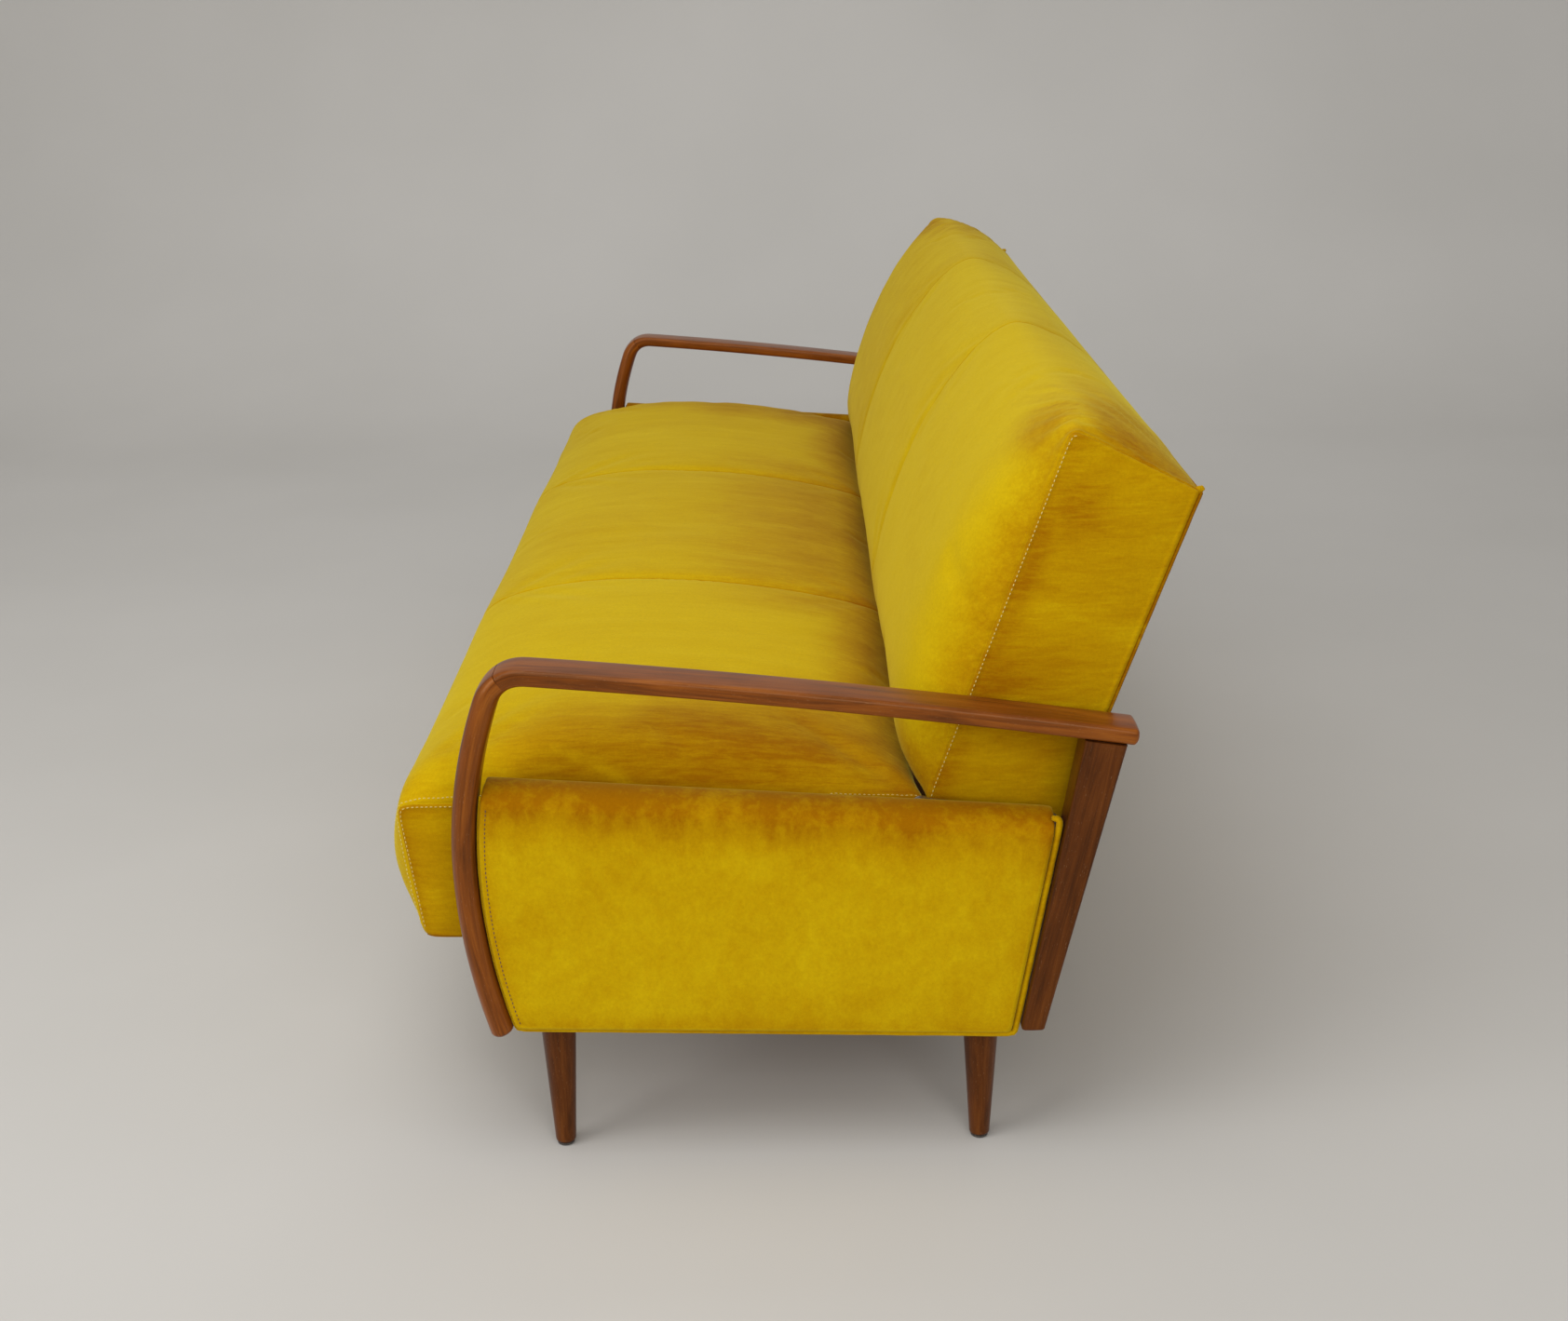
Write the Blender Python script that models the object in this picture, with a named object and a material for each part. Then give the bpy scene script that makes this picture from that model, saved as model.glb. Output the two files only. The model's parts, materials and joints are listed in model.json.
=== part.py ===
"""Click-clack sofa bed with bent wooden arm frames and four tapered legs.

Metres, +Z up, front towards -Y, the sitter's left towards +X, origin on the floor under the middle.
The base stands still. The seat and the back both turn about one line, the crease between them.
"""
import math

import bmesh
import bpy
from mathutils import Vector

# Driving dimensions -------------------------------------------------------------------------
GAP = 0.0003                      # kept between pieces that touch

ARM_OUTER = 0.950                 # outer face of the arm frames, from the middle
ARM_INNER = 0.903
RAIL_THICKNESS = 0.018
POST_THICKNESS = 0.024
RAIL_REAR = (0.348, 0.4665)       # (y, z) of the rail's centreline at its rear end
ARM_CORNER = (-0.276, 0.543)      # where the rail's and the front post's centrelines meet
RAIL_BOW = 0.0055                 # rise of the rail's middle above a straight line
POST_KNEE = (-0.3205, 0.335)      # the front post's most forward point
POST_FOOT = (-0.2945, 0.151)
BEND_LENGTH = 0.022               # how far from the corner the bend starts

REAR_POST_INNER = 0.910
REAR_POST_TOP = (0.295, 0.337)    # front and rear edge, y
REAR_POST_BOTTOM = (0.239, 0.263)
REAR_POST_FOOT_Z = 0.1465

BASE_Z = 0.1465                   # underside of the base at y = 0
BASE_SLOPE = -0.0287              # the base falls towards the rear
BOARD_INNER = 0.9015
BOARD_THICKNESS = 0.018
BOARD_OUTER = BOARD_INNER + BOARD_THICKNESS
PAD_OUTER = 0.945
PANEL_TOP_Z = 0.4050              # top of the side panel at y = 0
PANEL_TOP_SLOPE = -0.0735
PIPING_RADIUS = 0.003
PIPING_X = 0.9375
PAD_EDGE = 0.0085                 # from the rear post to the pad, which leaves room for the piping
PAD_FRONT_EDGE = 0.0035           # from the front post to the pad
PAD_LIP = 0.0200                  # the pad wraps over the side board by this depth
PIPING_EDGE = 0.0042
FRONT_BOARD_Y = (-0.262, -0.244)
REAR_BOARD_Y = (0.215, 0.233)
REAR_BOARD_TOP_Z = 0.212

PIVOT = (0.140, 0.376)            # (y, z) of the crease line that seat and back turn about
CUSHION_HALF = 0.886
COVER_THICKNESS = 0.0025

SEAT_Z = 0.2289                   # underside of the seat at y = 0
SEAT_SLOPE = -0.015
SEAT_FRONT_TOP = (-0.396, 0.386)
SEAT_REAR_TOP = (0.132, 0.379)
SEAT_FRONT_BOTTOM_Y = -0.378
SEAT_REAR_BOTTOM_Y = 0.126
SEAT_CROWN = 0.060
SEAT_FRONT_SWELL = 0.0236
SEAT_RAIL_HEIGHT = 0.050

BACK_LEAN = math.radians(19.95)   # lean of the back's front face from upright
BACK_BOTTOM = 0.010               # distances from the pivot, up the back's front face
BACK_TOP_FRONT = 0.411
BACK_TOP_REAR = 0.3925
BACK_DEPTH = 0.142                # cover only, from the front face's seams to the rear opening
BACK_PANEL = 0.004
BACK_CROWN = 0.056
BACK_RAIL_FRONT = 0.096           # the back frame lies behind this depth

FRAME_HALF = 0.8820
FRAME_RAIL = 0.026

LEG_X = 0.9105
LEG_Y = (-0.241, 0.201)           # front, rear
LEG_TOP_RADIUS = 0.019
LEG_FOOT_RADIUS = 0.0105
GLIDE_HEIGHT = 0.003
BOLT_RADIUS = 0.004
BOLT_HOLE_RADIUS = 0.0044
BOLT_DEPTH_IN_LEG = 0.036
BOLT_TOP_Z = 0.188

PIN_RADIUS = 0.005
PIN_HOLE_RADIUS = 0.00506
PIN_SIDES = 24
PLATE_THICKNESS = 0.003
SEAT_LEAF_X = 0.8900
BACK_LEAF_X = 0.8940
BRACKET_X = 0.8980
SPRING_WIRE = 0.0019

MATERIALS = {
    # slot: (red, green, blue, roughness, metallic)
    "lacquered_wood": (0.165, 0.045, 0.014, 0.28, 0.0),
    "velvet": (0.470, 0.300, 0.020, 0.85, 0.0),
    "pine": (0.560, 0.380, 0.200, 0.60, 0.0),
    "hardboard": (0.250, 0.140, 0.070, 0.70, 0.0),
    "felt": (0.420, 0.390, 0.330, 0.95, 0.0),
    "lining": (0.480, 0.420, 0.300, 0.90, 0.0),
    "steel": (0.420, 0.420, 0.430, 0.40, 1.0),
    "glide_plastic": (0.060, 0.050, 0.045, 0.50, 0.0),
}
SIDES = (("left", 1.0), ("right", -1.0))


# Helpers ------------------------------------------------------------------------------------
def clear_scene():
    for obj in list(bpy.data.objects):
        bpy.data.objects.remove(obj, do_unlink=True)


def material(slot):
    """The slot's Principled material, made once."""
    mat = bpy.data.materials.get(slot)
    if mat is None:
        red, green, blue, roughness, metallic = MATERIALS[slot]
        mat = bpy.data.materials.new(slot)
        mat.use_nodes = True
        shader = mat.node_tree.nodes["Principled BSDF"]
        shader.inputs["Base Color"].default_value = (red, green, blue, 1.0)
        shader.inputs["Roughness"].default_value = roughness
        shader.inputs["Metallic"].default_value = metallic
    return mat


def solid(name, verts, faces, slot, smooth=False, parent=None):
    """An object from points in the sofa's frame, with its faces turned outwards."""
    mesh = bpy.data.meshes.new(name)
    bm = bmesh.new()
    points = [bm.verts.new(v) for v in verts]
    for face in faces:
        bm.faces.new([points[i] for i in face])
    bmesh.ops.recalc_face_normals(bm, faces=bm.faces)
    bm.to_mesh(mesh)
    bm.free()
    if smooth:
        mesh.shade_smooth()
        mesh.set_sharp_from_angle(angle=math.radians(40))
    obj = bpy.data.objects.new(name, mesh)
    bpy.context.collection.objects.link(obj)
    mesh.materials.append(material(slot))
    if parent is not None:
        obj.parent = parent
        obj.location = -parent.location
    return obj


def prism(name, outline, x0, x1, slot, parent=None, smooth=False):
    """A (y, z) outline extruded along X."""
    count = len(outline)
    verts = [(x0, y, z) for y, z in outline] + [(x1, y, z) for y, z in outline]
    faces = [tuple(range(count)), tuple(range(count, 2 * count))]
    for i in range(count):
        j = (i + 1) % count
        faces.append((i, j, count + j, count + i))
    return solid(name, verts, faces, slot, smooth, parent)


def soften(obj, width, segments=2):
    """Round the object's crisp edges."""
    bevel = obj.modifiers.new("soft_edges", "BEVEL")
    bevel.width = width
    bevel.segments = segments
    bevel.limit_method = "ANGLE"
    bevel.angle_limit = math.radians(40)


def sheared_box(name, xs, ys, heights, surface, slot, parent=None):
    """A box whose top and bottom lie at two heights above a sloping surface z = surface(y)."""
    outline = [(y, surface(y) + h) for y, h in
               ((ys[0], heights[0]), (ys[1], heights[0]), (ys[1], heights[1]), (ys[0], heights[1]))]
    return prism(name, outline, xs[0], xs[1], slot, parent)


def turned(name, profile, place, slot, sides=20, parent=None, shift=None):
    """A closed solid turned from (radius, height) points that start and end on the axis."""
    verts, rings, faces = [], [], []
    for radius, height in profile:
        if radius == 0.0:
            rings.append([len(verts)])
            verts.append(place(0.0, 0.0, height))
            continue
        rings.append(list(range(len(verts), len(verts) + sides)))
        for k in range(sides):
            turn = 2 * math.pi * k / sides
            verts.append(place(radius * math.cos(turn), radius * math.sin(turn), height))
    for low, high in zip(rings, rings[1:]):
        for k in range(sides):
            n = (k + 1) % sides
            corners = [low[k % len(low)], low[n % len(low)], high[n % len(high)], high[k % len(high)]]
            faces.append(tuple(dict.fromkeys(corners)))
    if shift is not None:
        verts = [shift(v) for v in verts]
    return solid(name, verts, faces, slot, True, parent)


def tube(name, path, radius, slot, sides=6, parent=None):
    """A round wire or cord along an open path."""
    points = [Vector(p) for p in path]
    verts, faces = [], []
    normal = None
    for i, point in enumerate(points):
        ahead = points[min(i + 1, len(points) - 1)] - points[max(i - 1, 0)]
        ahead.normalize()
        if normal is None:
            normal = ahead.orthogonal().normalized()
        normal = (normal - ahead * normal.dot(ahead)).normalized()
        binormal = ahead.cross(normal)
        for k in range(sides):
            turn = 2 * math.pi * k / sides
            verts.append(point + radius * (math.cos(turn) * normal + math.sin(turn) * binormal))
    for i in range(len(points) - 1):
        for k in range(sides):
            n = (k + 1) % sides
            faces.append((i * sides + k, i * sides + n, (i + 1) * sides + n, (i + 1) * sides + k))
    faces.append(tuple(range(sides)))
    faces.append(tuple(range((len(points) - 1) * sides, len(points) * sides)))
    return solid(name, verts, faces, slot, True, parent)


def cutter(name, start, end, radius, sides=16):
    """A hidden cylinder that drills a hole from start to end."""
    axis = Vector(end) - Vector(start)
    bpy.ops.mesh.primitive_cylinder_add(vertices=sides, radius=radius, depth=axis.length)
    obj = bpy.context.object
    obj.name = name
    obj.location = (Vector(start) + Vector(end)) / 2
    obj.rotation_euler = axis.to_track_quat("Z", "Y").to_euler()
    obj.hide_render = True
    obj.display_type = "WIRE"
    return obj


def drill(obj, tool):
    cut = obj.modifiers.new("hole", "BOOLEAN")
    cut.operation = "DIFFERENCE"
    cut.solver = "EXACT"
    cut.object = tool


def pivot_empty(name):
    empty = bpy.data.objects.new(name, None)
    empty.location = (0.0, PIVOT[0], PIVOT[1])
    bpy.context.collection.objects.link(empty)
    return empty


# Shapes the pieces share -----------------------------------------------------------------------
def base_z(y):
    return BASE_Z + BASE_SLOPE * y


def seat_z(y):
    return SEAT_Z + SEAT_SLOPE * y


def panel_top_z(y):
    return PANEL_TOP_Z + PANEL_TOP_SLOPE * y


def back_point(up, behind):
    """(y, z) of a point given by its distances up and behind the back's front face."""
    lean_y, lean_z = math.sin(BACK_LEAN), math.cos(BACK_LEAN)
    return (PIVOT[0] + up * lean_y + behind * lean_z, PIVOT[1] + up * lean_z - behind * lean_y)


def rail_centre(t):
    """The arm rail's centreline, t = 0 at the rear end and 1 at the corner."""
    y = RAIL_REAR[0] + t * (ARM_CORNER[0] - RAIL_REAR[0])
    z = RAIL_REAR[1] + t * (ARM_CORNER[1] - RAIL_REAR[1]) + 4 * RAIL_BOW * t * (1 - t)
    return Vector((y, z))


def post_centre(z):
    """The front post's centreline: two arcs that meet at the knee."""
    end = ARM_CORNER if z > POST_KNEE[1] else POST_FOOT
    reach = (z - POST_KNEE[1]) / (end[1] - POST_KNEE[1])
    return Vector((POST_KNEE[0] + (end[0] - POST_KNEE[0]) * reach ** 2, z))


def post_rear_edge(z):
    return post_centre(z).x + POST_THICKNESS / 2


def rear_post_front_edge(z):
    top_z = RAIL_REAR[1]
    share = (z - REAR_POST_FOOT_Z) / (top_z - REAR_POST_FOOT_Z)
    return REAR_POST_BOTTOM[0] + share * (REAR_POST_TOP[0] - REAR_POST_BOTTOM[0])


def band(centres, halves, mitre, mitre_at):
    """The outline of a bent strip with the given centreline and half thickness at each point.

    mitre is the direction of the strip where it is cut, at the point numbered mitre_at."""
    upper, lower = [], []
    for i, centre in enumerate(centres):
        ahead = centres[min(i + 1, len(centres) - 1)] - centres[max(i - 1, 0)]
        if i == mitre_at:
            ahead = mitre
        across = Vector((-ahead.y, ahead.x)).normalized() * halves[i]
        upper.append(tuple(centre + across))
        lower.append(tuple(centre - across))
    return upper + lower[::-1]


def bend_curve(steps):
    """The bend at the corner, from the rail to the post, as a smooth curve."""
    length = (Vector(ARM_CORNER) - Vector(RAIL_REAR)).length
    start = rail_centre(1 - BEND_LENGTH / length)
    end = post_centre(ARM_CORNER[1] - BEND_LENGTH)
    corner = Vector(ARM_CORNER)
    points = []
    for k in range(steps + 1):
        t = k / steps
        points.append(start * (1 - t) ** 2 + corner * 2 * t * (1 - t) + end * t ** 2)
    return points


def capsule(first, second, first_radius, second_radius, steps=10):
    """The outline of a flat bar with round ends."""
    along = Vector(second) - Vector(first)
    facing = math.atan2(along.y, along.x)
    outline = []
    for centre, radius, start in ((second, second_radius, facing - math.pi / 2),
                                  (first, first_radius, facing + math.pi / 2)):
        for k in range(steps + 1):
            turn = start + math.pi * k / steps
            outline.append((centre[0] + radius * math.cos(turn), centre[1] + radius * math.sin(turn)))
    return outline


def end_fade(x, half):
    """How far a cushion's crown has risen at x: nothing at its ends, all of it in the middle."""
    return math.sqrt(max(0.0, 1 - abs(x / half) ** 12))


def seat_crown(t):
    """Rise of the seat's top from front (0) to rear (1)."""
    return math.sin(math.pi * t ** 0.72) ** 0.6


def back_crown(t):
    """Swell of the back's front face from its lower edge (0) to its top (1)."""
    return math.sin(math.pi * t ** 0.9) ** 0.75


def pillow_section(corners, swells, counts, scale):
    """A cushion's cross-section: straight sides between the corners, each swollen outwards."""
    outline = []
    for i, corner in enumerate(corners):
        following = corners[(i + 1) % len(corners)]
        along = Vector(following) - Vector(corner)
        outward = Vector((-along.y, along.x)).normalized()
        amount, shape = swells[i]
        for k in range(counts[i]):
            t = k / counts[i]
            point = Vector(corner) + along * t + outward * amount * scale * shape(t)
            outline.append(tuple(point))
    return outline


def pillow(name, corners, swells, counts, half, slot, parent, open_side=None, skin=None):
    """A swollen cushion between x = -half and half. Corners run front-bottom, up, over and down.

    open_side leaves that side of the section away; skin then gives the cover its thickness."""
    shares = (1.0, 0.985, 0.95, 0.88, 0.72, 0.45, 0.15)
    stations = [-half * s for s in shares] + [half * s for s in shares[::-1]]
    verts, faces = [], []
    for x in stations:
        for y, z in pillow_section(corners, swells, counts, end_fade(x, half)):
            verts.append((x, y, z))
    size = sum(counts)
    skipped = set()
    if open_side is not None:
        first = sum(counts[:open_side])
        skipped = set(range(first, first + counts[open_side]))
    for i in range(len(stations) - 1):
        for k in range(size):
            if k in skipped:
                continue
            n = (k + 1) % size
            faces.append((i * size + k, i * size + n, (i + 1) * size + n, (i + 1) * size + k))
    faces.append(tuple(range(size)))
    faces.append(tuple(range((len(stations) - 1) * size, len(stations) * size)))
    obj = solid(name, verts, faces, slot, True, parent)
    if skin is not None:
        shell = obj.modifiers.new("skin", "SOLIDIFY")
        shell.thickness = skin
        shell.offset = -1.0
        shell.use_even_offset = True
    return obj


def straight(_t):
    return 0.0


def bulge(t):
    return math.sin(math.pi * t)


# Base --------------------------------------------------------------------------------------
def make_arm(side_name, side):
    """Arm rail and front post, mitred in the middle of the bend, and the rear post under the rail."""
    bend = bend_curve(8)
    middle = len(bend) // 2
    mitre = (bend[middle + 1] - bend[middle - 1]).normalized()
    slack = mitre * GAP / 2

    reach = (Vector(ARM_CORNER) - Vector(RAIL_REAR)).length
    rail = [rail_centre(k / 9 * (1 - BEND_LENGTH / reach)) for k in range(9)] + bend[:middle + 1]
    rail[-1] = rail[-1] - slack
    half_rail, half_post = RAIL_THICKNESS / 2, POST_THICKNESS / 2
    half_mitre = (half_rail + half_post) / 2
    grow = [half_rail + (half_mitre - half_rail) * k / middle for k in range(middle + 1)]
    rail_outline = band(rail, [half_rail] * 9 + grow, mitre, len(rail) - 1)
    arm = prism("arm_rail_" + side_name, rail_outline, side * ARM_INNER, side * ARM_OUTER,
                "lacquered_wood")
    soften(arm, 0.003)

    top_z = ARM_CORNER[1] - BEND_LENGTH
    post = bend[middle:] + [post_centre(top_z + (POST_FOOT[1] - top_z) * k / 11) for k in range(1, 12)]
    post[0] = post[0] + slack
    shrink = [half_mitre + (half_post - half_mitre) * k / middle for k in range(middle + 1)]
    post_outline = band(post, shrink + [half_post] * 11, mitre, 0)
    front_post = prism("front_post_" + side_name, post_outline, side * ARM_INNER, side * ARM_OUTER,
                       "lacquered_wood")
    soften(front_post, 0.003)

    rail_length = ARM_CORNER[0] - RAIL_REAR[0]

    def under_rail(y):
        return rail_centre((y - RAIL_REAR[0]) / rail_length).y - half_rail - 2 * GAP

    rear_outline = [(REAR_POST_BOTTOM[0], REAR_POST_FOOT_Z), (REAR_POST_BOTTOM[1], REAR_POST_FOOT_Z),
                    (REAR_POST_TOP[1], under_rail(REAR_POST_TOP[1])),
                    (REAR_POST_TOP[0], under_rail(REAR_POST_TOP[0]))]
    rear_post = prism("rear_post_" + side_name, rear_outline, side * REAR_POST_INNER, side * ARM_OUTER,
                      "lacquered_wood")
    soften(rear_post, 0.0025)


def panel_outline(front_gap, edge_gap, top_drop, bottom_rise, corner=0.016):
    """The side panel's outline: it follows the front post's bow and the rear post's lean."""
    low = base_z(POST_FOOT[0] + front_gap) + bottom_rise
    high = panel_top_z(post_rear_edge(panel_top_z(POST_FOOT[0])) + front_gap) - top_drop
    front = []
    for k in range(9):
        z = low + (high - low) * k / 8
        front.append((post_rear_edge(z) + front_gap, z))
    rear_top_z = panel_top_z(REAR_POST_TOP[0] - edge_gap) - top_drop
    top_y = rear_post_front_edge(rear_top_z) - edge_gap
    below_z = rear_top_z - 2 * corner
    rear_low_z = base_z(REAR_POST_BOTTOM[0]) + bottom_rise
    rear = [(top_y - corner, panel_top_z(top_y - corner) - top_drop),
            (top_y - corner * 0.30, rear_top_z - corner * 0.30),
            (rear_post_front_edge(below_z) - edge_gap, below_z),
            (rear_post_front_edge(rear_low_z) - edge_gap, rear_low_z)]
    return front + rear


def make_side_panel(side_name, side):
    """The side board, the upholstered pad that wraps it, and the piping behind and below the pad."""
    outline = panel_outline(PAD_FRONT_EDGE + 0.001, PAD_EDGE + 0.001, PAD_LIP + 0.0005, 0.004)
    board = prism("side_board_" + side_name, outline, side * BOARD_INNER, side * BOARD_OUTER, "pine")
    for place, leg_y in zip(("front", "rear"), LEG_Y):
        x = side * LEG_X
        drill(board, cutter("bolt_hole_%s_%s" % (place, side_name),
                            (x, leg_y, 0.10), (x, leg_y, BOLT_TOP_Z + 0.0015), BOLT_HOLE_RADIUS))

    pad = prism("side_pad_" + side_name, panel_outline(PAD_FRONT_EDGE, PAD_EDGE, 0.0, 0.0),
                side * BOARD_INNER, side * PAD_OUTER, "velvet")
    soften(pad, 0.004)
    core = prism("pad_core_" + side_name, panel_outline(0.0005, 0.0005, PAD_LIP, -0.020),
                 side * 0.880, side * (BOARD_OUTER + GAP), "velvet")
    core.hide_render = True
    core.display_type = "WIRE"
    drill(pad, core)

    outline = panel_outline(PAD_FRONT_EDGE, PIPING_EDGE, 0.004, 0.0)
    front, rear = outline[:9], outline[9:]
    drop = PIPING_RADIUS + 3 * GAP
    bottom = [(front[0][0] + 0.004, front[0][1] - drop), (rear[-1][0] - 0.004, rear[-1][1] - drop)]
    route = rear[1:] + bottom[::-1]
    tube("side_piping_" + side_name, [(side * PIPING_X, y, z) for y, z in route], PIPING_RADIUS,
         "velvet")


def make_box():
    """The shallow box under the seat that keeps the bedding."""
    half = BOARD_INNER - GAP
    front_top = seat_z(FRONT_BOARD_Y[0]) - 0.004
    outline = [(FRONT_BOARD_Y[0], base_z(FRONT_BOARD_Y[0])), (FRONT_BOARD_Y[1], base_z(FRONT_BOARD_Y[1])),
               (FRONT_BOARD_Y[1], front_top), (FRONT_BOARD_Y[0], front_top)]
    prism("front_board", outline, -half, half, "pine")
    outline = [(REAR_BOARD_Y[0], base_z(REAR_BOARD_Y[0])), (REAR_BOARD_Y[1], base_z(REAR_BOARD_Y[1])),
               (REAR_BOARD_Y[1], REAR_BOARD_TOP_Z), (REAR_BOARD_Y[0], REAR_BOARD_TOP_Z)]
    prism("rear_board", outline, -half, half, "pine")
    inside = (FRONT_BOARD_Y[1] + GAP, REAR_BOARD_Y[0] - GAP)
    sheared_box("centre_bearer", (-0.03, 0.03), inside, (0.0, 0.0115), base_z, "pine")
    sheared_box("box_floor", (-half, half), inside, (0.012, 0.016), base_z, "hardboard")


def make_leg(name, x, y):
    """A turned, tapered leg, its hanger bolt up into the side board, and its glide."""
    top = base_z(y) - 2 * GAP
    hole_end = top - BOLT_DEPTH_IN_LEG

    def place(dx, dy, z):
        return (x + dx, y + dy, z)

    def slope_top(v):
        """The leg's top follows the base's slope."""
        return (v[0], v[1], v[2] + BASE_SLOPE * (v[1] - y)) if v[2] > top - 1e-6 else v

    foot = GLIDE_HEIGHT + GAP
    profile = [(0.0, foot), (LEG_FOOT_RADIUS - 0.001, foot), (LEG_FOOT_RADIUS, foot + 0.002),
               (LEG_TOP_RADIUS, top), (BOLT_HOLE_RADIUS, top), (BOLT_HOLE_RADIUS, hole_end),
               (0.0, hole_end)]
    turned("leg_" + name, profile, place, "lacquered_wood", shift=slope_top)
    bolt = [(0.0, hole_end + 0.001), (BOLT_RADIUS, hole_end + 0.001), (BOLT_RADIUS, BOLT_TOP_Z),
            (0.0, BOLT_TOP_Z)]
    turned("leg_bolt_" + name, bolt, place, "steel", sides=12)
    glide = [(0.0, 0.0), (0.0080, 0.0), (0.0092, 0.001), (0.0092, GLIDE_HEIGHT), (0.0, GLIDE_HEIGHT)]
    turned("leg_glide_" + name, glide, place, "glide_plastic", sides=16)


def hinge_plate(name, first, second, radii, x, side, parent=None):
    """A flat steel plate with the pin's hole at its first end."""
    outer_x = x + PLATE_THICKNESS
    plate = prism(name, capsule(first, second, *radii), side * x, side * outer_x, "steel", parent)
    y, z = PIVOT
    drill(plate, cutter("hole_" + name, (side * (x - 0.004), y, z), (side * (outer_x + 0.004), y, z),
                        PIN_HOLE_RADIUS, PIN_SIDES))


def make_hinge(side_name, side, seat_pivot, back_pivot):
    """Bracket on the side board, a leaf for the seat and one for the back, all on one pin."""
    hinge_plate("hinge_bracket_" + side_name, PIVOT, (0.150, 0.262), (0.0105, 0.020), BRACKET_X, side)
    hinge_plate("seat_leaf_" + side_name, PIVOT, (-0.040, 0.262), (0.0098, 0.014), SEAT_LEAF_X, side,
                seat_pivot)
    hinge_plate("back_leaf_" + side_name, PIVOT, back_point(0.026, 0.128), (0.0098, 0.010),
                BACK_LEAF_X, side, back_pivot)
    y, z = PIVOT

    def place(dy, dz, x):
        return (side * x, y + dy, z + dz)

    tail = BRACKET_X + PLATE_THICKNESS
    profile = [(0.0, 0.8870), (0.0068, 0.8870), (0.0068, SEAT_LEAF_X - GAP), (PIN_RADIUS, SEAT_LEAF_X - GAP),
               (PIN_RADIUS, tail), (0.0, tail)]
    turned("hinge_pin_" + side_name, profile, place, "steel", sides=PIN_SIDES)


# Seat --------------------------------------------------------------------------------------
def zigzag(start, end, width, turns, to_world):
    """A flat wavy path from start to end, its waves across X."""
    points = []
    for k in range(4 * turns + 1):
        share = k / (4 * turns)
        points.append(to_world(width * math.sin(2 * math.pi * turns * share),
                               start + (end - start) * share))
    return points


def seat_corners(inset, bottom):
    """The seat's section, front-bottom first, pulled in by inset; bottom is above its underside."""
    front_y, rear_y = SEAT_FRONT_BOTTOM_Y + inset, SEAT_REAR_BOTTOM_Y - inset
    return [(front_y, seat_z(front_y) + bottom),
            (SEAT_FRONT_TOP[0] + inset, SEAT_FRONT_TOP[1] - inset),
            (SEAT_REAR_TOP[0] - inset, SEAT_REAR_TOP[1] - inset),
            (rear_y, seat_z(rear_y) + bottom)]


def make_seat(pivot):
    counts = (4, 16, 4, 8)
    swells = ((SEAT_FRONT_SWELL, bulge), (SEAT_CROWN, seat_crown), (0.004, bulge), (0.0, straight))
    pillow("seat_cover", seat_corners(0.0, 0.0), swells, counts, CUSHION_HALF, "velvet", pivot,
           open_side=3, skin=COVER_THICKNESS)
    padding_swells = ((0.016, bulge), (SEAT_CROWN - 0.004, seat_crown), (0.0, straight), (0.0, straight))
    pillow("seat_padding", seat_corners(0.0055, 0.064), padding_swells, (3, 12, 3, 4),
           CUSHION_HALF - 0.006, "felt", pivot)

    front = (SEAT_FRONT_BOTTOM_Y + 0.010, SEAT_FRONT_BOTTOM_Y + 0.010 + FRAME_RAIL)
    rear = (SEAT_REAR_BOTTOM_Y - 0.009 - FRAME_RAIL, SEAT_REAR_BOTTOM_Y - 0.009)
    between = (front[1] + GAP, rear[0] - GAP)
    height = (0.0, SEAT_RAIL_HEIGHT)
    sheared_box("seat_rail_front", (-FRAME_HALF, FRAME_HALF), front, height, seat_z, "pine", pivot)
    sheared_box("seat_rail_rear", (-FRAME_HALF, FRAME_HALF), rear, height, seat_z, "pine", pivot)
    for side_name, side in SIDES:
        xs = (side * (FRAME_HALF - FRAME_RAIL), side * FRAME_HALF)
        sheared_box("seat_rail_" + side_name, xs, between, height, seat_z, "pine", pivot)
    sheared_box("seat_rail_centre", (-FRAME_RAIL / 2, FRAME_RAIL / 2), between, (0.0, 0.036), seat_z,
                "pine", pivot)
    sheared_box("seat_dust_cover", (-FRAME_HALF, FRAME_HALF), (front[0], rear[1]), (-0.0018, -GAP),
                seat_z, "lining", pivot)

    rest = SEAT_RAIL_HEIGHT + SPRING_WIRE + 2 * GAP
    for number, x in enumerate((-0.66, -0.24, 0.24, 0.66), start=1):
        path = zigzag(front[0] + 0.006, rear[1] - 0.006, 0.050, 6,
                      lambda dx, y, x=x: (x + dx, y, seat_z(y) + rest))
        tube("seat_spring_%d" % number, path, SPRING_WIRE, "steel", 5, pivot)


# Back --------------------------------------------------------------------------------------
def back_corners(inset, depth):
    """The back's section, lower rear first, then lower front, top front and top rear."""
    slope = (BACK_TOP_FRONT - BACK_TOP_REAR) / (BACK_DEPTH + BACK_PANEL)
    return [back_point(BACK_BOTTOM + inset, depth), back_point(BACK_BOTTOM + inset, 0.002 + inset),
            back_point(BACK_TOP_FRONT - inset, 0.002 + inset),
            back_point(BACK_TOP_FRONT - inset - slope * depth, depth)]


def back_box(name, xs, ups, depths, slot, pivot):
    outline = [back_point(ups[0], depths[0]), back_point(ups[0], depths[1]),
               back_point(ups[1], depths[1]), back_point(ups[1], depths[0])]
    return prism(name, outline, xs[0], xs[1], slot, pivot)


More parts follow.
